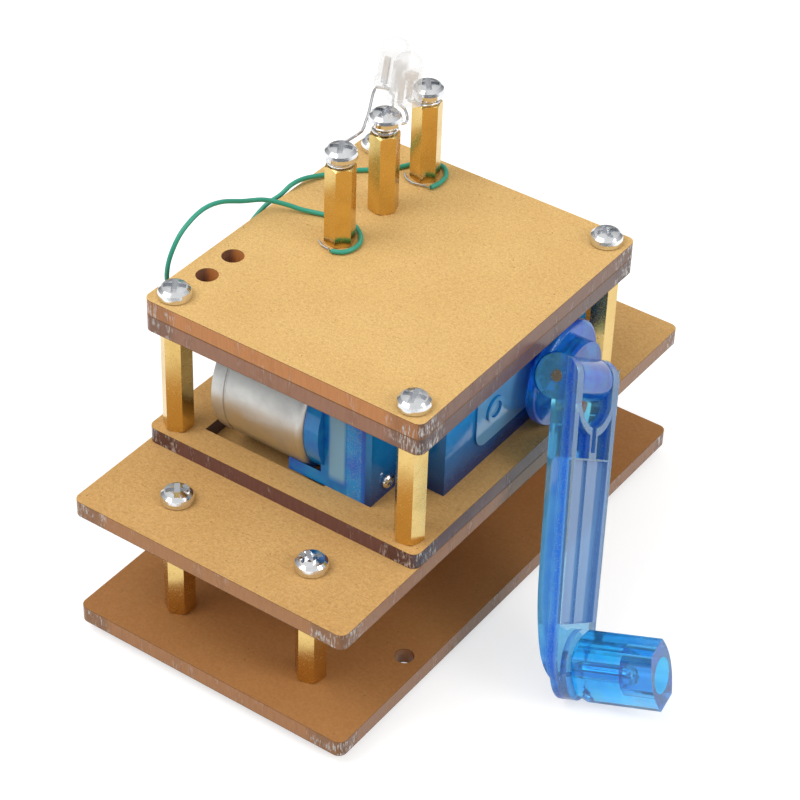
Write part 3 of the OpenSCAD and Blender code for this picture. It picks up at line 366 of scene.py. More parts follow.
    def surface(self, **inputs: object) -> None:
        """Adds the main shader and joins it to the output.

        Args:
            **inputs: shader inputs, with underscores for spaces.
        """
        shader = self.node("ShaderNodeBsdfPrincipled")
        for key, value in inputs.items():
            self.feed(shader.inputs[key.replace("_", " ")], value)
        self.feed(self.output.inputs["Surface"], shader.outputs["BSDF"])


@dataclass(frozen=True)
class Finish:
    """A surface finish, which builds its material once."""

    slot: Slot
    name: str

    def draw(self, g: Graph) -> None:
        """Fills the node tree of this finish."""
        raise NotImplementedError

    def material(self) -> bpy.types.Material:
        """Gives the material, and builds it at the first call.

        Returns:
            The material.
        """
        made = bpy.data.materials.get(self.name)
        if made is None:
            made = bpy.data.materials.new(self.name)
            self.draw(Graph(made))
        return made

    def dress(self, obj: bpy.types.Object) -> None:
        """Puts the finish on every face of an object.

        Args:
            obj: a mesh or curve object.
        """
        obj.data.materials.clear()
        obj.data.materials.append(self.material())


@dataclass(frozen=True)
class PaperFinish(Finish):
    """Brown masking paper: fibres, specks, a soft mottle and scorched cut edges."""

    light: Colour = (0.84, 0.56, 0.22)
    dark: Colour = (0.69, 0.42, 0.145)
    fibre: Colour = (0.34, 0.17, 0.06)
    scorch: Colour = (0.15, 0.06, 0.025)
    mottle_mm: float = 0.55
    mottle_share: float = 0.75
    cloud_mm: float = 16.0
    cloud_share: float = 0.25
    pulp_mm: float = 0.24
    pulp_depth_mm: float = 0.012
    pulp_share: float = 0.42
    fibre_mm: float = 0.32
    fibre_stretch: Triple = (0.28, 1.0, 1.0)
    fibre_turns: Triple = (12.0, 71.0, 134.0)
    fibre_share: float = 0.32
    speck_gap_mm: float = 2.6
    speck_share: float = 0.75
    scorch_share: float = 0.85
    roughness: float = 0.78
    gloss: float = 0.3

    def draw(self, g: Graph) -> None:
        """Draws mottled paper with short dark fibres in three directions.

        Args:
            g: graph to fill.
        """
        mottle = g.noise(self.mottle_mm, detail=5.0, roughness=0.75)
        cloud = g.noise(self.cloud_mm, detail=2.0)
        both = g.maths("ADD", g.times(mottle, self.mottle_share), g.times(cloud, self.cloud_share))
        tone = g.ramp(both, [(0.36, self.dark), (0.64, self.light)])
        pulp = g.noise(self.pulp_mm, detail=3.0, roughness=0.7)
        tone = g.blend(g.span(pulp, 0.4, 0.68, 0.0, self.pulp_share), tone, self.fibre)
        for angle in self.fibre_turns:
            strand = g.noise(self.fibre_mm, detail=1.0, stretch=self.fibre_stretch,
                             turn=(0.0, 0.0, angle))
            share = g.span(strand, 0.66, 0.74, 0.0, self.fibre_share)
            tone = g.blend(share, tone, self.fibre)
        speck = g.span(g.cells(self.speck_gap_mm), 0.035, 0.055, self.speck_share, 0.0)
        tone = g.blend(speck, tone, self.scorch)
        cut = g.span(g.facing("Z"), 0.3, 0.8, self.scorch_share, 0.0)
        tone = g.blend(cut, tone, self.scorch)
        g.surface(Base_Color=tone, Roughness=self.roughness, Specular_IOR_Level=self.gloss,
                  Normal=g.bump(pulp, self.pulp_depth_mm, 0.6))


@dataclass(frozen=True)
class ClearSheetFinish(Finish):
    """Clear sheet seen through its laser cut edges.

    The edges take on the paper's brown, except near the corners, where painted glints lie; painted
    shade darkens the edges that face +X.
    """

    edge: Colour = (0.38, 0.185, 0.11)
    deep: Colour = (0.27, 0.12, 0.075)
    # glint is the colour of the painted glints; shade is the colour of the painted shade on the
    # edges that face +X.
    glint: Colour = (0.95, 0.92, 0.88)
    shade: Colour = (0.085, 0.06, 0.065)
    shade_share: float = 0.75
    half_length_mm: float = 31.0
    clear_mm: float = 6.5
    clear_across: Span = (0.0198, 0.0255)
    ripple_mm: float = 0.28
    ripple_stretch: Triple = (1.0, 1.0, 0.2)
    ripple_turn: Triple = (24.0, 24.0, 0.0)
    ripple_depth_mm: float = 0.03
    slant_mm: float = 0.35
    slant_stretch: Triple = (1.0, 1.0, 0.12)
    slant_turn: Triple = (28.0, 28.0, 0.0)
    hatch_mm: float = 0.3
    hatch_stretch: Triple = (1.0, 1.0, 0.16)
    hatch_turn: Triple = (40.0, 40.0, 0.0)
    coarse_mm: float = 2.4
    coarse_share: float = 0.6
    patch_mm: float = 1.8
    slant_share: float = 0.28
    ripple_share: float = 0.22
    faint_clear: float = 0.15
    corner_clear: float = 0.35
    bend: float = 1.49
    gloss: float = 0.3

    def near_corners(self, g: Graph, coarse: Socket) -> Socket:
        """Masks the stretches of the edges by the corners and the screws.

        Args:
            g: graph to draw in.
            coarse: noise that makes the mask's border uneven.

        Returns:
            The mask's socket.
        """
        across = g.span(g.maths("ABSOLUTE", g.axis("X")), *self.clear_across)
        limits_mm = (self.half_length_mm - self.clear_mm, self.half_length_mm)
        down = g.span_mm(g.maths("ABSOLUTE", g.axis("Y")), limits_mm)
        corner = g.maths("ADD", across, down)
        uneven = g.maths("ADD", corner, g.times(coarse, self.coarse_share))
        return g.span(uneven, 1.3, 1.7)

    def draw(self, g: Graph) -> None:
        """Draws rippled brown edges with clear stretches that carry painted glints, and painted
        shade on the edges that face +X.

        Args:
            g: graph to fill.
        """
        ripple = g.noise(self.ripple_mm, detail=2.0, stretch=self.ripple_stretch,
                         turn=self.ripple_turn)
        slant = g.noise(self.slant_mm, detail=1.0, stretch=self.slant_stretch,
                        turn=self.slant_turn)
        coarse = g.noise(self.coarse_mm, detail=3.0, stretch=self.ripple_stretch)
        near = self.near_corners(g, coarse)
        streak = g.span(slant, 0.4, 0.7, 0.0, self.slant_share)
        tone = g.blend(streak, self.edge, self.deep)
        tone = g.blend(g.span(ripple, 0.5, 0.8, 0.0, self.ripple_share), tone, self.deep)
        # painted shade: the edges that face +X are darkened towards the shade colour
        painted_shade_side = g.span(g.axis("X", "Normal"), 0.4, 0.8, 0.0, self.shade_share)
        tone = g.blend(painted_shade_side, tone, self.shade)
        hatch = g.noise(self.hatch_mm, detail=2.0, roughness=0.7, stretch=self.hatch_stretch,
                        turn=self.hatch_turn)
        zone = g.times(near, g.span(g.noise(self.patch_mm, detail=3.0), 0.42, 0.58))
        # painted glints: bright hatch lines in patches near the corners
        tone = g.blend(g.times(zone, g.span(hatch, 0.5, 0.6)), tone, self.glint)
        faint = g.span(coarse, 0.5, 0.75, 0.0, self.faint_clear)
        clear = g.maths("MAXIMUM", faint, g.times(near, self.corner_clear))
        height = g.times(ripple, g.maths("ADD", 0.5, near))
        g.surface(Base_Color=tone, Transmission_Weight=clear, IOR=self.bend,
                  Specular_IOR_Level=self.gloss, Roughness=g.span(coarse, 0.4, 0.7, 0.16, 0.32),
                  Normal=g.bump(height, self.ripple_depth_mm, 0.7))


@dataclass(frozen=True)
class MetalFinish(Finish):
    """Bare metal with a fine grain, faint stains and small scratches.

    A piece that runs into resin, as the lamps' leads do, takes a milky cast above a height.
    """

    colour: Colour = (0.8, 0.8, 0.8)
    stain: Colour = (0.6, 0.6, 0.6)
    stain_share: float = 0.55
    grain_share: float = 0.16
    roughness: float = 0.25
    rough_shares: Span = (0.85, 1.25)
    grain_mm: float = 0.12
    grain_depth_mm: float = 0.004
    stretch: Triple = UNSTRETCHED
    cloud_mm: float = 4.5
    scratch_mm: float = 0.5
    scratch_stretch: Triple = (1.0, 0.07, 1.0)
    scratch_turn: Triple = (20.0, 35.0, 50.0)
    scratch_roughness: float = 0.12
    cast_above_mm: float = 0.0
    cast_fade_mm: float = 0.6
    cast: Colour = (0.86, 0.76, 0.66)

    def draw(self, g: Graph) -> None:
        """Draws a grained metal, with its milky cast if it has one.

        Args:
            g: graph to fill.
        """
        grain = g.noise(self.grain_mm, detail=4.0, roughness=0.6, stretch=self.stretch)
        cloud = g.noise(self.cloud_mm, detail=4.0)
        scratch = g.noise(self.scratch_mm, detail=1.0, stretch=self.scratch_stretch,
                          turn=self.scratch_turn)
        patch = g.span(cloud, 0.42, 0.72, 0.0, self.stain_share)
        tone = g.blend(patch, self.colour, self.stain)
        tone = g.blend(g.span(grain, 0.3, 0.5, self.grain_share, 0.0), tone, self.stain)
        smooth, worn = (self.roughness * share for share in self.rough_shares)
        rough = g.maths("ADD", g.span(cloud, 0.35, 0.7, smooth, worn),
                        g.span(scratch, 0.6, 0.7, 0.0, self.scratch_roughness))
        metallic: object = 1.0
        if self.cast_above_mm:
            limits_mm = (self.cast_above_mm, self.cast_above_mm + self.cast_fade_mm)
            inside = g.span_mm(g.axis("Z"), limits_mm)
            tone = g.blend(inside, tone, self.cast)
            metallic = g.maths("SUBTRACT", 1.0, inside)
        g.surface(Base_Color=tone, Roughness=rough, Metallic=metallic,
                  Normal=g.bump(grain, self.grain_depth_mm, 0.7))


@dataclass(frozen=True)
class PlasticFinish(Finish):
    """Opaque moulded plastic with a faint grain."""

    colour: Colour = (0.8, 0.8, 0.78)
    shade: Colour = (0.7, 0.7, 0.66)
    roughness: float = 0.4
    rough_shares: Span = (0.85, 1.2)
    cloud_mm: float = 3.0
    grain_mm: float = 0.2
    grain_depth_mm: float = 0.006

    def draw(self, g: Graph) -> None:
        """Draws a plain plastic with a soft change of tone.

        Args:
            g: graph to fill.
        """
        cloud = g.noise(self.cloud_mm, detail=3.0)
        grain = g.noise(self.grain_mm, detail=3.0)
        smooth, worn = (self.roughness * share for share in self.rough_shares)
        g.surface(Base_Color=g.blend(g.span(cloud, 0.35, 0.7), self.colour, self.shade),
                  Roughness=g.span(grain, 0.3, 0.7, smooth, worn),
                  Normal=g.bump(grain, self.grain_depth_mm, 0.5))


@dataclass(frozen=True)
class ResinFinish(Finish):
    """Water clear lamp resin with a few tiny waves, and painted shade that darkens its colour at
    the rim.
    """

    tint: Colour = (0.93, 0.92, 0.905)
    # rim: colour of the painted shade seen at grazing angles
    rim: Colour = (0.30, 0.29, 0.31)
    bend: float = 1.5
    wave_mm: float = 1.4
    wave_depth_mm: float = 0.05

    def draw(self, g: Graph) -> None:
        """Draws clear resin with painted shade: its colour darkens where it is seen at a grazing
        angle.

        Args:
            g: graph to fill.
        """
        wave = g.noise(self.wave_mm, detail=1.0)
        # painted shade: the colour blends towards the rim colour at grazing angles
        grazing = g.node("ShaderNodeLayerWeight").outputs["Facing"]
        g.surface(Base_Color=g.blend(g.span(grazing, 0.2, 0.85), self.tint, self.rim),
                  Transmission_Weight=1.0, IOR=self.bend,
                  Roughness=g.span(wave, 0.3, 0.7, 0.0, 0.02),
                  Normal=g.bump(wave, self.wave_depth_mm, 0.5))


AZURE: Colour = (0.012, 0.42, 0.98)
SKY: Colour = (0.07, 0.66, 1.0)
BRIGHT: Colour = (0.30, 0.90, 1.0)
PALE: Colour = (0.36, 0.72, 0.96)
MILKY_AND_SHADED: Colour = (0.17, 0.34, 0.66)
ROYAL: Colour = (0.01, 0.18, 0.88)
NAVY: Colour = (0.01, 0.04, 0.2)
FROST: Colour = (0.45, 0.68, 0.95)


@dataclass(frozen=True)
class TranslucentFinish(Finish):
    """Cloudy blue plastic, half clear, painted and etched as its piece asks."""

    pass_colour: Colour = (0.08, 0.58, 0.97)
    density: float = 110.0
    clear: float = 0.7
    roughness: float = 0.07
    bend: float = 1.47
    sink_mm: float = 6.0
    sink_depth_mm: float = 0.03
    grain_mm: float = 0.22
    grain_depth_mm: float = 0.03
    patch_mm: float = 2.6
    patch_share: float = 0.3
    frost_share: float = 0.55
    etched_roughness: float = 0.25
    etched_clear_share: float = 0.7
    veiled_clear_share: float = 0.3

    def paint(self, g: Graph) -> Socket:
        """Paints the piece, each in its own way."""
        raise NotImplementedError

    def etch(self, g: Graph) -> Socket:
        """Masks the surfaces with a faint, patchy etch."""
        return g.span(g.noise(self.patch_mm, detail=3.0), 0.48, 0.68, 0.0, self.patch_share)

    def veil(self, g: Graph) -> Socket | None:
        """Masks what is less clear than the rest, if anything is."""
        return None

    def draw(self, g: Graph) -> None:
        """Draws a half clear shader over an absorbing volume, with etched grain by a mask.

        Args:
            g: graph to fill.
        """
        sink = g.noise(self.sink_mm, detail=2.0)
        grain = g.noise(self.grain_mm, detail=3.0, roughness=0.7)
        mask = self.etch(g)
        speck = g.times(mask, g.span(grain, 0.52, 0.66))
        soft = g.bump(sink, self.sink_depth_mm, 0.4)
        clear = g.span(mask, 0.0, 1.0, self.clear, self.clear * self.etched_clear_share)
        veil = self.veil(g)
        if veil is not None:
            clear = g.times(clear, g.span(veil, 0.0, 1.0, 1.0, self.veiled_clear_share))
        rough = g.maths("ADD", self.roughness, g.times(mask, self.etched_roughness))
        frost = g.times(speck, self.frost_share)
        g.surface(Base_Color=g.blend(frost, self.paint(g), FROST),
                  Transmission_Weight=clear, IOR=self.bend, Roughness=rough,
                  Normal=g.bump(g.times(grain, mask), self.grain_depth_mm, 0.7, normal=soft))
        volume = g.node("ShaderNodeVolumeAbsorption")
        g.feed(volume.inputs["Color"], self.pass_colour)
        g.feed(volume.inputs["Density"], self.density)
        g.feed(g.output.inputs["Volume"], volume.outputs["Volume"])


@dataclass(frozen=True)
class ShellFinish(TranslucentFinish):
    """The rear shell's blue, with an etched band round its open end and a patch of painted light
    on its side.
    """

    clear: float = 0.4
    cloud_mm: float = 4.0
    lit_patch_x_mm: Span = (5.9, 9.4)
    lit_patch_x_fade_mm: float = 0.5
    lit_patch_z_mm: Span = (30.6, 48.2)
    lit_patch_z_fade_mm: float = 1.4
    band_mm: Span = (9.4, 12.6)
    band_fade_mm: float = 0.3
    rim_mm: Span = (12.2, 13.0)
    patch_mm: float = 3.0
    patch_share: float = 0.15

    def paint(self, g: Graph) -> Socket:
        """Paints a pale patch of painted light on the side, azure round it and a dark rim.

        Args:
            g: graph to draw in.

        Returns:
            The colour's socket.
        """
        side = g.span(g.facing("Y"), 0.4, 0.8)
        # painted light: a pale patch on the sides that face along Y
        lit_patch = g.times(g.window(g.axis("X"), self.lit_patch_x_mm, self.lit_patch_x_fade_mm),
                        g.window(g.axis("Z"), self.lit_patch_z_mm, self.lit_patch_z_fade_mm))
        cloud = g.span(g.noise(self.cloud_mm, detail=2.0), 0.35, 0.7)
        tone = g.blend(g.times(lit_patch, side), g.blend(cloud, AZURE, ROYAL), PALE)
        return g.blend(g.span_mm(g.axis("X"), self.rim_mm), tone, ROYAL)

    def etch(self, g: Graph) -> Socket:
        """Masks the band, and the rest very faintly.

        Args:
            g: graph to draw in.

        Returns:
            The mask's socket.
        """
        band = g.window(g.axis("X"), self.band_mm, self.band_fade_mm)
        faint = g.span(g.noise(self.patch_mm, detail=3.0), 0.5, 0.75, 0.0, self.patch_share)
        return g.maths("MAXIMUM", band, faint)


@dataclass(frozen=True)
class CoverFinish(TranslucentFinish):
    """The front cover's blue, darker towards its foot as painted shade, with a paler pad."""

    clear: float = 0.4
    foot_shade_mm: Span = (30.0, 42.0)
    foot_shade_share: float = 0.95
    pad_mm: Span = (22.2, 22.3)
    pad_share: float = 0.6

    def paint(self, g: Graph) -> Socket:
        """Paints the cover bright at the top and dark at the foot, which is painted shade, and
        pale on its pad.

        Args:
            g: graph to draw in.

        Returns:
            The colour's socket.
        """
        # painted shade: the cover darkens towards navy at its foot
        foot = g.span_mm(g.axis("Z"), self.foot_shade_mm, 1.0, 0.0)
        tone = g.blend(g.times(foot, self.foot_shade_share), AZURE, NAVY)
        front = g.span(g.axis("X", "Normal"), 0.5, 0.8)
        pad = g.times(g.span_mm(g.axis("X"), self.pad_mm), front)
        return g.blend(g.times(pad, self.pad_share), tone, PALE)


@dataclass(frozen=True)
class HubFinish(TranslucentFinish):
    """The hub's blue, in soft changes from azure to royal blue."""

    density: float = 90.0
    cloud_mm: float = 3.5

    def paint(self, g: Graph) -> Socket:
        """Paints the hub."""
        return g.blend(g.span(g.noise(self.cloud_mm, detail=2.0), 0.35, 0.65), AZURE, ROYAL)


@dataclass(frozen=True)
class ArmFrame:
    """Directions of the crank's arm at rest, and where its recess lies along them.

    The CAD nodes sit at the origin, so these hold in the arm's and the knob's own coordinates
    at every pose.
    """

    knob_way: Triple = (0.951057, 0.177245, 0.253131)
    pin_mm: float = 39.651
    down_way: Triple = (0.309017, -0.545503, -0.779060)
    down_start_mm: float = -27.703
    across_way: Triple = (0.0, 0.819152, -0.573576)
    across_start_mm: float = -12.867
    recess_mm: Span = (13.1, 39.8)
    recess_fade_mm: float = 0.05
    recess_side_mm: Span = (7.1, 7.3)
    recess_floor_mm: Span = (0.2, 0.5)

    def depth(self, g: Graph) -> Socket:
        """Measures a place along the knob's axis from the hinge pin, in metres."""
        return g.along(self.knob_way, self.pin_mm)

    def recess(self, g: Graph) -> Socket:
        """Masks the floor, the rib and the walls of the arm's long recess.

        Args:
            g: graph to draw in.

        Returns:
            The mask's socket.
        """
        down = g.along(self.down_way, self.down_start_mm)
        across = g.maths("ABSOLUTE", g.along(self.across_way, self.across_start_mm))
        inside = g.times(g.window(down, self.recess_mm, self.recess_fade_mm),
                         g.span_mm(across, self.recess_side_mm, 1.0, 0.0))
        return g.times(inside, g.span_mm(self.depth(g), self.recess_floor_mm))


ARM_FRAME = ArmFrame()


@dataclass(frozen=True)
class ArmFinish(TranslucentFinish):
    """The arm's blue: etched just under its face, milky with painted shade in its recess, and with
    painted light at its back.
    """

    density: float = 60.0
    clear: float = 0.78
    lit_back_mm: Span = (0.9, 3.6)
    face_mm: Span = (2.8, 3.5)
    face_share: float = 0.85
    cloud_mm: float = 5.0
    cloud_depth: float = 0.002
    band_mm: Span = (1.4, 3.5)
    band_fade_mm: float = 0.4
    patch_share: float = 0.2

    def paint(self, g: Graph) -> Socket:
        """Paints the arm with painted light, bright cyan, at its back, and royal blue towards its
        face.

        Args:
            g: graph to draw in.

        Returns:
            The colour's socket.
        """
        uneven = g.times(g.noise(self.cloud_mm, detail=2.0), self.cloud_depth)
        # painted light: bright cyan at the arm's back
        back = g.span_mm(g.maths("ADD", ARM_FRAME.depth(g), uneven), self.lit_back_mm)
        face = g.span_mm(ARM_FRAME.depth(g), self.face_mm, 0.0, self.face_share)
        sides = g.blend(back, BRIGHT, g.blend(face, ROYAL, PALE))
        # the recess: frosted, and with painted shade for the shadow seen through it
        return g.blend(ARM_FRAME.recess(g), sides, MILKY_AND_SHADED)

    def etch(self, g: Graph) -> Socket:
        """Masks the sides just under the face, and leaves the rest almost smooth.

        Args:
            g: graph to draw in.

        Returns:
            The mask's socket.
        """
        band = g.window(ARM_FRAME.depth(g), self.band_mm, self.band_fade_mm)
        side = g.span(g.facing("X"), 0.5, 0.8, 1.0, 0.0)
        faint = g.span(g.noise(self.patch_mm, detail=3.0), 0.5, 0.7, 0.0, self.patch_share)
        return g.maths("MAXIMUM", g.times(band, side), faint)

    def veil(self, g: Graph) -> Socket:
        """Masks the recess, which is less clear than the rest."""
        return ARM_FRAME.recess(g)


@dataclass(frozen=True)
class KnobFinish(TranslucentFinish):
    """The knob's blue, paler round its deep hole."""

    density: float = 60.0
    clear: float = 0.9
    hole_mm: Span = (12.6, 13.4)
    hole_share: float = 0.35
    cloud_mm: float = 5.0

    def paint(self, g: Graph) -> Socket:
        """Paints the knob sky blue.

        Args:
            g: graph to draw in.

        Returns:
            The colour's socket.
        """
        hole = g.span_mm(ARM_FRAME.depth(g), self.hole_mm, 0.0, self.hole_share)
        cloud = g.span(g.noise(self.cloud_mm, detail=2.0), 0.35, 0.7)
        return g.blend(hole, g.blend(cloud, SKY, AZURE), PALE)


PAPER = PaperFinish(Slot.FILM, "masking_paper")
# Darker copies of the same paper, as painted shade for the lower plates, which lie in the shade of
# the plates above them.
SHADED_MIDDLE_PAPER = PaperFinish(Slot.FILM, "shaded_middle_masking_paper",
                           light=(0.72, 0.44, 0.165), dark=(0.58, 0.32, 0.10))
SHADED_LOW_PAPER = PaperFinish(Slot.FILM, "shaded_low_masking_paper",
                        light=(0.46, 0.215, 0.07), dark=(0.37, 0.155, 0.043))
SHEET = ClearSheetFinish(Slot.ACRYLIC, "clear_sheet")
TOP_SHEET = ClearSheetFinish(Slot.ACRYLIC, "top_clear_sheet",
                             edge=(0.66, 0.27, 0.085), deep=(0.50, 0.18, 0.05))
CRADLE_SHEET = ClearSheetFinish(Slot.ACRYLIC, "cradle_clear_sheet",
                                edge=(0.18, 0.08, 0.072), deep=(0.11, 0.05, 0.045))
LONG_SHEET = ClearSheetFinish(Slot.ACRYLIC, "long_clear_sheet",
                              edge=(0.48, 0.21, 0.07), deep=(0.33, 0.13, 0.05),
                              half_length_mm=50.0, clear_mm=5.0, shade_share=0.35)
BRASS = MetalFinish(Slot.BRASS, "satin_brass", colour=(0.74, 0.53, 0.2), stain=(0.6, 0.4, 0.12),
                    roughness=0.22, grain_depth_mm=0.002, stretch=(1.0, 1.0, 0.12))
ZINC = MetalFinish(Slot.ZINC, "bright_zinc", colour=(0.80, 0.81, 0.83), stain=(0.6, 0.63, 0.66),
                   roughness=0.13, grain_mm=0.3, grain_depth_mm=0.005)
CAN = MetalFinish(Slot.CAN, "satin_can", colour=(0.56, 0.565, 0.55), stain=(0.42, 0.42, 0.42),
                  roughness=0.38, grain_mm=0.15, grain_depth_mm=0.014)
GROUND = MetalFinish(Slot.SHAFT, "ground_steel", colour=(0.72, 0.72, 0.74),
                     stain=(0.55, 0.55, 0.57), roughness=0.2, stretch=(0.1, 1.0, 1.0))
IRON = MetalFinish(Slot.CORE, "dark_core", colour=(0.24, 0.25, 0.28), stain=(0.15, 0.15, 0.17),
                   roughness=0.5)
COPPER = MetalFinish(Slot.COPPER, "enamelled_copper", colour=(0.78, 0.36, 0.18),
                     stain=(0.6, 0.24, 0.1), roughness=0.3, stretch=(0.08, 1.0, 1.0))
BRONZE = MetalFinish(Slot.BRONZE, "sintered_bronze", colour=(0.62, 0.42, 0.22),
                     stain=(0.45, 0.28, 0.13), roughness=0.45)
TINNED = MetalFinish(Slot.TINNED, "tinned_wire", colour=(0.78, 0.78, 0.8),
                     stain=(0.55, 0.55, 0.57), roughness=0.16)
LEADS = MetalFinish(Slot.TINNED, "lamp_leads", colour=(0.78, 0.78, 0.8),
                    stain=(0.55, 0.55, 0.57), roughness=0.16, cast_above_mm=74.6)
NYLON = PlasticFinish(Slot.WHITE, "white_nylon")
GREEN = PlasticFinish(Slot.GREEN, "green_insulation", colour=(0.012, 0.17, 0.12),
                      shade=(0.008, 0.12, 0.085), roughness=0.33)
RESIN = ResinFinish(Slot.LENS, "lamp_resin")
SHELL = ShellFinish(Slot.BLUE, "blue_shell")
COVER = CoverFinish(Slot.BLUE, "blue_cover")
HUB = HubFinish(Slot.BLUE, "blue_hub")
ARM = ArmFinish(Slot.BLUE, "blue_arm")
KNOB = KnobFinish(Slot.BLUE, "blue_knob")


class SoftLamp(NamedTuple):
    """A soft square lamp: its name, place, length of side and power in watts."""

    name: str
    place: Triple
    size: float
    power: float


@dataclass
class Studio:
    """Camera, lights, world and floor."""

    camera_place: Triple = (0.19554, -0.28565, 0.29961)
    camera_turn: Triple = (51.86, -1.586, 35.365)
    focal_px: float = 2616.45
    picture_px: float = 800.0
    sensor: float = 36.0
    near_limit: float = 0.01
    sky_foot: Colour = (0.16, 0.165, 0.175)
    sky_top: Colour = (0.88, 0.88, 0.87)
    sky_top_place: float = 0.85
    lamps: tuple[SoftLamp, ...] = (
        SoftLamp("key_lamp", (-0.35, -0.45, 0.8), 0.55, 4.0),
        SoftLamp("side_lamp", (0.75, 0.1, 0.5), 0.4, 2.2),
    )
    lamp_target: Triple = (0.0, 0.0, 0.03)
    floor_size: float = 8.0
    floor_colour: Colour = (0.56, 0.56, 0.56)
    floor_glow: float = 0.62

    def camera(self) -> None:
        """Makes the camera at the photograph's place and angle."""
        data = bpy.data.cameras.new("camera")
        data.sensor_width = self.sensor
        data.lens = self.focal_px * self.sensor / self.picture_px
        data.clip_start = self.near_limit
        camera = add_object("camera", data)
        camera.location = self.camera_place
        camera.rotation_euler = Euler([math.radians(a) for a in self.camera_turn], "XYZ")
        bpy.context.scene.camera = camera

    def world(self) -> None:
        """Makes a pale studio sky, which is white where the camera looks at it."""
        world = bpy.data.worlds.new("studio")
        bpy.context.scene.world = world
        g = Graph(world, "ShaderNodeOutputWorld")
        light = g.node("ShaderNodeBackground")
        sky = g.ramp(g.axis("Z", "Generated"),
                     [(0.0, self.sky_foot), (self.sky_top_place, self.sky_top)])
        g.feed(light.inputs["Color"], sky)
        white = g.node("ShaderNodeBackground")
        g.feed(white.inputs["Color"], WHITE)
        mix = g.node("ShaderNodeMixShader")
        g.feed(mix.inputs["Fac"], g.node("ShaderNodeLightPath").outputs["Is Camera Ray"])
        g.feed(mix.inputs[1], light.outputs["Background"])
        g.feed(mix.inputs[2], white.outputs["Background"])
        g.feed(g.output.inputs["Surface"], mix.outputs["Shader"])

    def light(self, lamp: SoftLamp) -> None:
        """Args:
            lamp: the lamp's place, size and power.
        """
        data = bpy.data.lights.new(lamp.name, "AREA")
        data.shape = "SQUARE"
        data.size = lamp.size
        data.energy = lamp.power
        made = add_object(lamp.name, data)
        made.location = lamp.place
        way = Vector(self.lamp_target) - Vector(lamp.place)
        made.rotation_euler = way.to_track_quat("-Z", "Y").to_euler()

    def floor(self) -> None:
        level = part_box("foot_screws")[0].z
        half = self.floor_size / 2
        mesh = bpy.data.meshes.new("floor")
        corners = [(x * half, y * half, level) for x, y in ((-1, -1), (1, -1), (1, 1), (-1, 1))]
        mesh.from_pydata(corners, [], [(0, 1, 2, 3)])
        floor = add_object("floor", mesh)
        mesh.materials.append(bpy.data.materials.new("floor_white"))
        g = Graph(mesh.materials[0])
        diffuse = g.node("ShaderNodeBsdfDiffuse")
        g.feed(diffuse.inputs["Color"], self.floor_colour)
        glow = g.node("ShaderNodeEmission")
        rays = g.node("ShaderNodeLightPath").outputs
        seen = g.maths("MAXIMUM", rays["Is Camera Ray"],
                       g.maths("MAXIMUM", rays["Is Glossy Ray"], rays["Is Transmission Ray"]))
        g.feed(glow.inputs["Strength"], g.times(seen, self.floor_glow))
        both = g.node("ShaderNodeAddShader")
        g.feed(both.inputs[0], diffuse.outputs["BSDF"])
        g.feed(both.inputs[1], glow.outputs["Emission"])
        g.feed(g.output.inputs["Surface"], both.outputs["Shader"])

    def build(self) -> None:
        """Sets up the whole studio."""
        bpy.context.scene.view_settings.view_transform = "Standard"
        self.camera()
        self.world()
        for lamp in self.lamps:
            self.light(lamp)
        self.floor()


def catmull(a: Vector, b: Vector, c: Vector, d: Vector, t: float) -> Vector:
    """Gives a point between b and c on the smooth curve through four points.

    Args:
        a: point before the stretch.
        b: start of the stretch.
        c: end of the stretch.
        d: point after the stretch.
        t: share of the stretch, from 0 to 1.

    Returns:
        The point.
    """
    slope = (c - a) * t
    return (2 * b + slope + (2 * a - 5 * b + 4 * c - d) * t ** 2
            + (3 * b - a - 3 * c + d) * t ** 3) / 2


def smooth_route(points: Sequence[Vector], steps: int) -> list[Vector]:
    """Gives a smooth route through points.

    Args:
        points: points of the route.
        steps: pieces that each stretch is cut into.

    Returns:
        The points of the smooth route.
    """
    last = len(points) - 1
    route = []
    for i in range(last):
        a, b, c, d = (points[max(i - 1, 0)], points[i], points[i + 1], points[min(i + 2, last)])
        route += [catmull(a, b, c, d, j / steps) for j in range(steps)]
    return route + [points[last]]


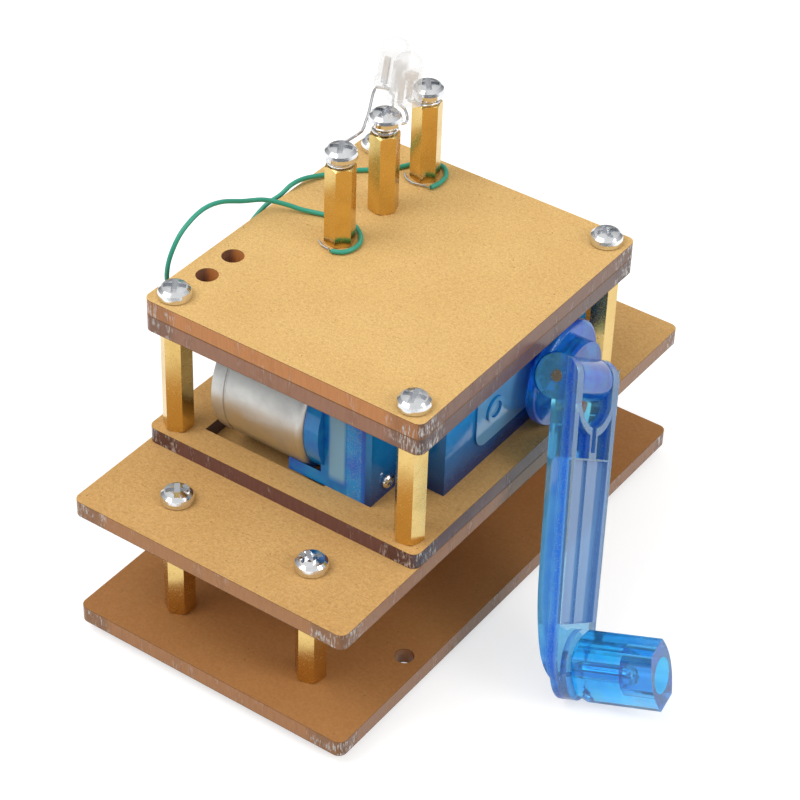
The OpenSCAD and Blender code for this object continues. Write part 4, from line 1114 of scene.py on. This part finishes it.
@dataclass
class Wires:
    """The two green wires from the motor to the posts' feet, and their bare strands."""

    diameter: float = 0.8 * MM
    roundness: int = 5
    steps: int = 8
    near_points: tuple[Triple, ...] = (
        (-18.3, -20.2, 39), (-21.5, -19.4, 39.5), (-26, -17.7, 41.6), (-29.4, -18, 44.6),
        (-31, -19.8, 49.2), (-30.8, -20.2, 53.2), (-30.3, -18.9, 57), (-30, -16.4, 59.4),
        (-29.8, -12.2, 60.6), (-29.5, -7.8, 59.9), (-28.5, -3.3, 58.1), (-26.6, 0, 57.4),
        (-24, 2, 56.6), (-21.4, 3.4, 55.8), (-18.3, 4.7, 55.5), (-15, 5.6, 55.5),
        (-12.2, 5.4, 55.5), (-9.8, 4, 55.5), (-8.3, 1.9, 55.5), (-8.1, -0.3, 55.5),
        (-9, -2.1, 55.5), (-10.6, -2.9, 55.5),
    )
    far_points: tuple[Triple, ...] = (
        (-18.3, -12.2, 39), (-22, -11, 38.8), (-26, -8.4, 40.6), (-29, -5, 44.6),
        (-30.2, -1, 49.4), (-29.3, 3.2, 53), (-27.9, 6.2, 54.6), (-27.2, 8.2, 55.8),
        (-26.6, 10.9, 55.9), (-25.2, 13.9, 55.6), (-22, 18.4, 55.5), (-19.2, 21, 55.5),
        (-16.5, 23.9, 55.5), (-14.8, 26.7, 55.5), (-12.6, 28.8, 55.5), (-10.1, 28.8, 55.5),
        (-8.4, 26.8, 55.5), (-8, 24.4, 55.5), (-8.4, 22.4, 55.5),
    )

    def tube(self, name: str, route: Sequence[Vector]) -> bpy.types.Object:
        """Makes a round tube of green insulation that rides with the frame.

        Args:
            name: name of the object.
            route: points of its middle line.

        Returns:
            The curve object.
        """
        curve = bpy.data.curves.new(name, "CURVE")
        curve.dimensions = "3D"
        curve.bevel_depth = self.diameter / 2
        curve.bevel_resolution = self.roundness
        curve.use_fill_caps = True
        spline = curve.splines.new("POLY")
        spline.points.add(len(route) - 1)
        for point, place in zip(spline.points, route):
            point.co = (*place, 1.0)
        obj = add_object(name, curve)
        GREEN.dress(obj)
        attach(obj, "frame")
        return obj

    def wire(self, name: str, points: Sequence[Triple]) -> None:
        """Makes one wire and hides the CAD node that it replaces.

        Args:
            name: name of the CAD node that it replaces.
            points: points of its route, in millimetres.
        """
        route = smooth_route([mm(*p) for p in points], self.steps)
        obj = self.tube(f"{name}_insulation", route)
        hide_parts(name)

    def build(self) -> None:
        """Makes both wires and dresses their strands."""
        self.wire("near_wire", self.near_points)
        self.wire("far_wire", self.far_points)
        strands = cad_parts["wire_strands"]
        TINNED.dress(strands)
        strands.data.shade_smooth()
        log.info("finished wire_strands")


@dataclass
class Plates:
    """The five masked plates of clear sheet."""

    finishes: tuple[tuple[str, Finish, Finish], ...] = (
        ("base_plate", LONG_SHEET, SHADED_LOW_PAPER),
        ("middle_plate", LONG_SHEET, SHADED_MIDDLE_PAPER),
        ("cradle_plate", CRADLE_SHEET, SHADED_MIDDLE_PAPER),
        ("lower_top_plate", SHEET, PAPER),
        ("upper_top_plate", TOP_SHEET, PAPER),
    )
    bite: float = 0.006 * MM

    def build(self) -> None:
        """Dresses the clear cores and their paper films, and lets each core meet its films."""
        for name, sheet, paper in self.finishes:
            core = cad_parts[name]
            sheet.dress(core)
            grip = core.modifiers.new("bond_to_film", "DISPLACE")
            grip.strength = self.bite
            grip.mid_level = 0.0
            paper.dress(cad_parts[f"{name}_films"])
            log.info("finished %s and its films", name)


class Piece(NamedTuple):
    """A CAD piece, its finish, and the width and fineness of its rounded edges."""

    name: str
    finish: Finish
    rounding_mm: float
    segments: int = 2


def alike(names: Iterable[str], finish: Finish, rounding_mm: float) -> tuple[Piece, ...]:
    """Lists pieces that share a finish and a rounding."""
    return tuple(Piece(name, finish, rounding_mm) for name in names)


@dataclass
class Assembly:
    """A sub-assembly whose CAD pieces keep their shapes and get rounded edges and a finish."""

    pieces: tuple[Piece, ...] = ()
    sharp_deg: float = 32.0

    def soften(self, obj: bpy.types.Object, width_mm: float, segments: int) -> None:
        """Rounds an object's sharp edges and shades it smooth.

        Args:
            obj: mesh object.
            width_mm: width of the rounding, in millimetres.
            segments: faces across the rounding.
        """
        bevel = obj.modifiers.new("rounding", "BEVEL")
        bevel.width = width_mm * MM
        bevel.segments = segments
        bevel.limit_method = "ANGLE"
        bevel.angle_limit = math.radians(self.sharp_deg)
        bevel.harden_normals = True
        obj.data.shade_smooth()

    def build(self) -> None:
        """Dresses, softens and reports every piece."""
        for piece in self.pieces:
            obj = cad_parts[piece.name]
            piece.finish.dress(obj)
            self.soften(obj, piece.rounding_mm, piece.segments)
            log.info("finished %s", piece.name)


@dataclass
class Standoffs(Assembly):
    """Hex brass standoffs and terminal posts."""

    pieces: tuple[Piece, ...] = alike(
        ("short_standoffs", "tall_standoffs", "terminal_posts"), BRASS, 0.12)


@dataclass
class Screws(Assembly):
    """Pan head screws in their groups."""

    pieces: tuple[Piece, ...] = alike(
        ("foot_screws", "middle_plate_screws", "deck_screws", "top_screws", "post_base_screws",
         "post_top_screws", "motor_screws", "gearbox_screws", "knob_axle"), ZINC, 0.1)


@dataclass
class Motor(Assembly):
    """The motor's outside and its inner works."""

    pieces: tuple[Piece, ...] = (
        Piece("motor_can", CAN, 0.08),
        Piece("motor_end_cap", NYLON, 0.08),
        Piece("motor_terminals", BRASS, 0.08),
        Piece("motor_brushes", BRONZE, 0.08),
        Piece("motor_magnets", IRON, 0.08),
        Piece("motor_bushes", BRONZE, 0.08),
        Piece("motor_shaft", GROUND, 0.08),
        Piece("rotor_core", IRON, 0.08),
        Piece("rotor_windings", COPPER, 0.08),
        Piece("commutator", COPPER, 0.08),
        Piece("motor_pinion", NYLON, 0.08),
    )


@dataclass
class Gearbox(Assembly):
    """The blue shells, the gears and what carries them."""

    pieces: tuple[Piece, ...] = (
        Piece("gearbox_rear_shell", SHELL, 0.35),
        Piece("gearbox_front_cover", COVER, 0.35),
        Piece("crank_bushes", BRONZE, 0.08),
        Piece("crank_shaft", GROUND, 0.08),
        Piece("crank_gear", NYLON, 0.05),
        Piece("first_idler_gear", NYLON, 0.05),
        Piece("first_idler_axle", GROUND, 0.08),
        Piece("second_idler_gear", NYLON, 0.05),
        Piece("second_idler_axle", GROUND, 0.08),
    )


@dataclass
class Crank(Assembly):
    """The hub, the hinged arm and the knob."""

    pieces: tuple[Piece, ...] = (
        Piece("crank_hub", HUB, 0.4, segments=3),
        Piece("hinge_pin", GROUND, 0.1, segments=3),
        Piece("crank_arm", ARM, 0.3, segments=3),
        Piece("crank_knob", KNOB, 0.25, segments=3),
    )


@dataclass
class Lamps(Assembly):
    """The two clear lamps and their leads."""

    pieces: tuple[Piece, ...] = (
        Piece("front_lamp_lens", RESIN, 0.1),
        Piece("front_lamp_leads", LEADS, 0.03),
        Piece("rear_lamp_lens", RESIN, 0.1),
        Piece("rear_lamp_leads", LEADS, 0.03),
    )


def main() -> None:
    """Builds the studio and every sub-assembly in order."""
    logging.basicConfig(level=logging.INFO, format="%(message)s")
    Studio().build()
    for assembly in (Wires(), Plates(), Standoffs(), Screws(), Motor(), Gearbox(), Crank(),
                     Lamps()):
        assembly.build()


if __name__ == "__main__":
    main()
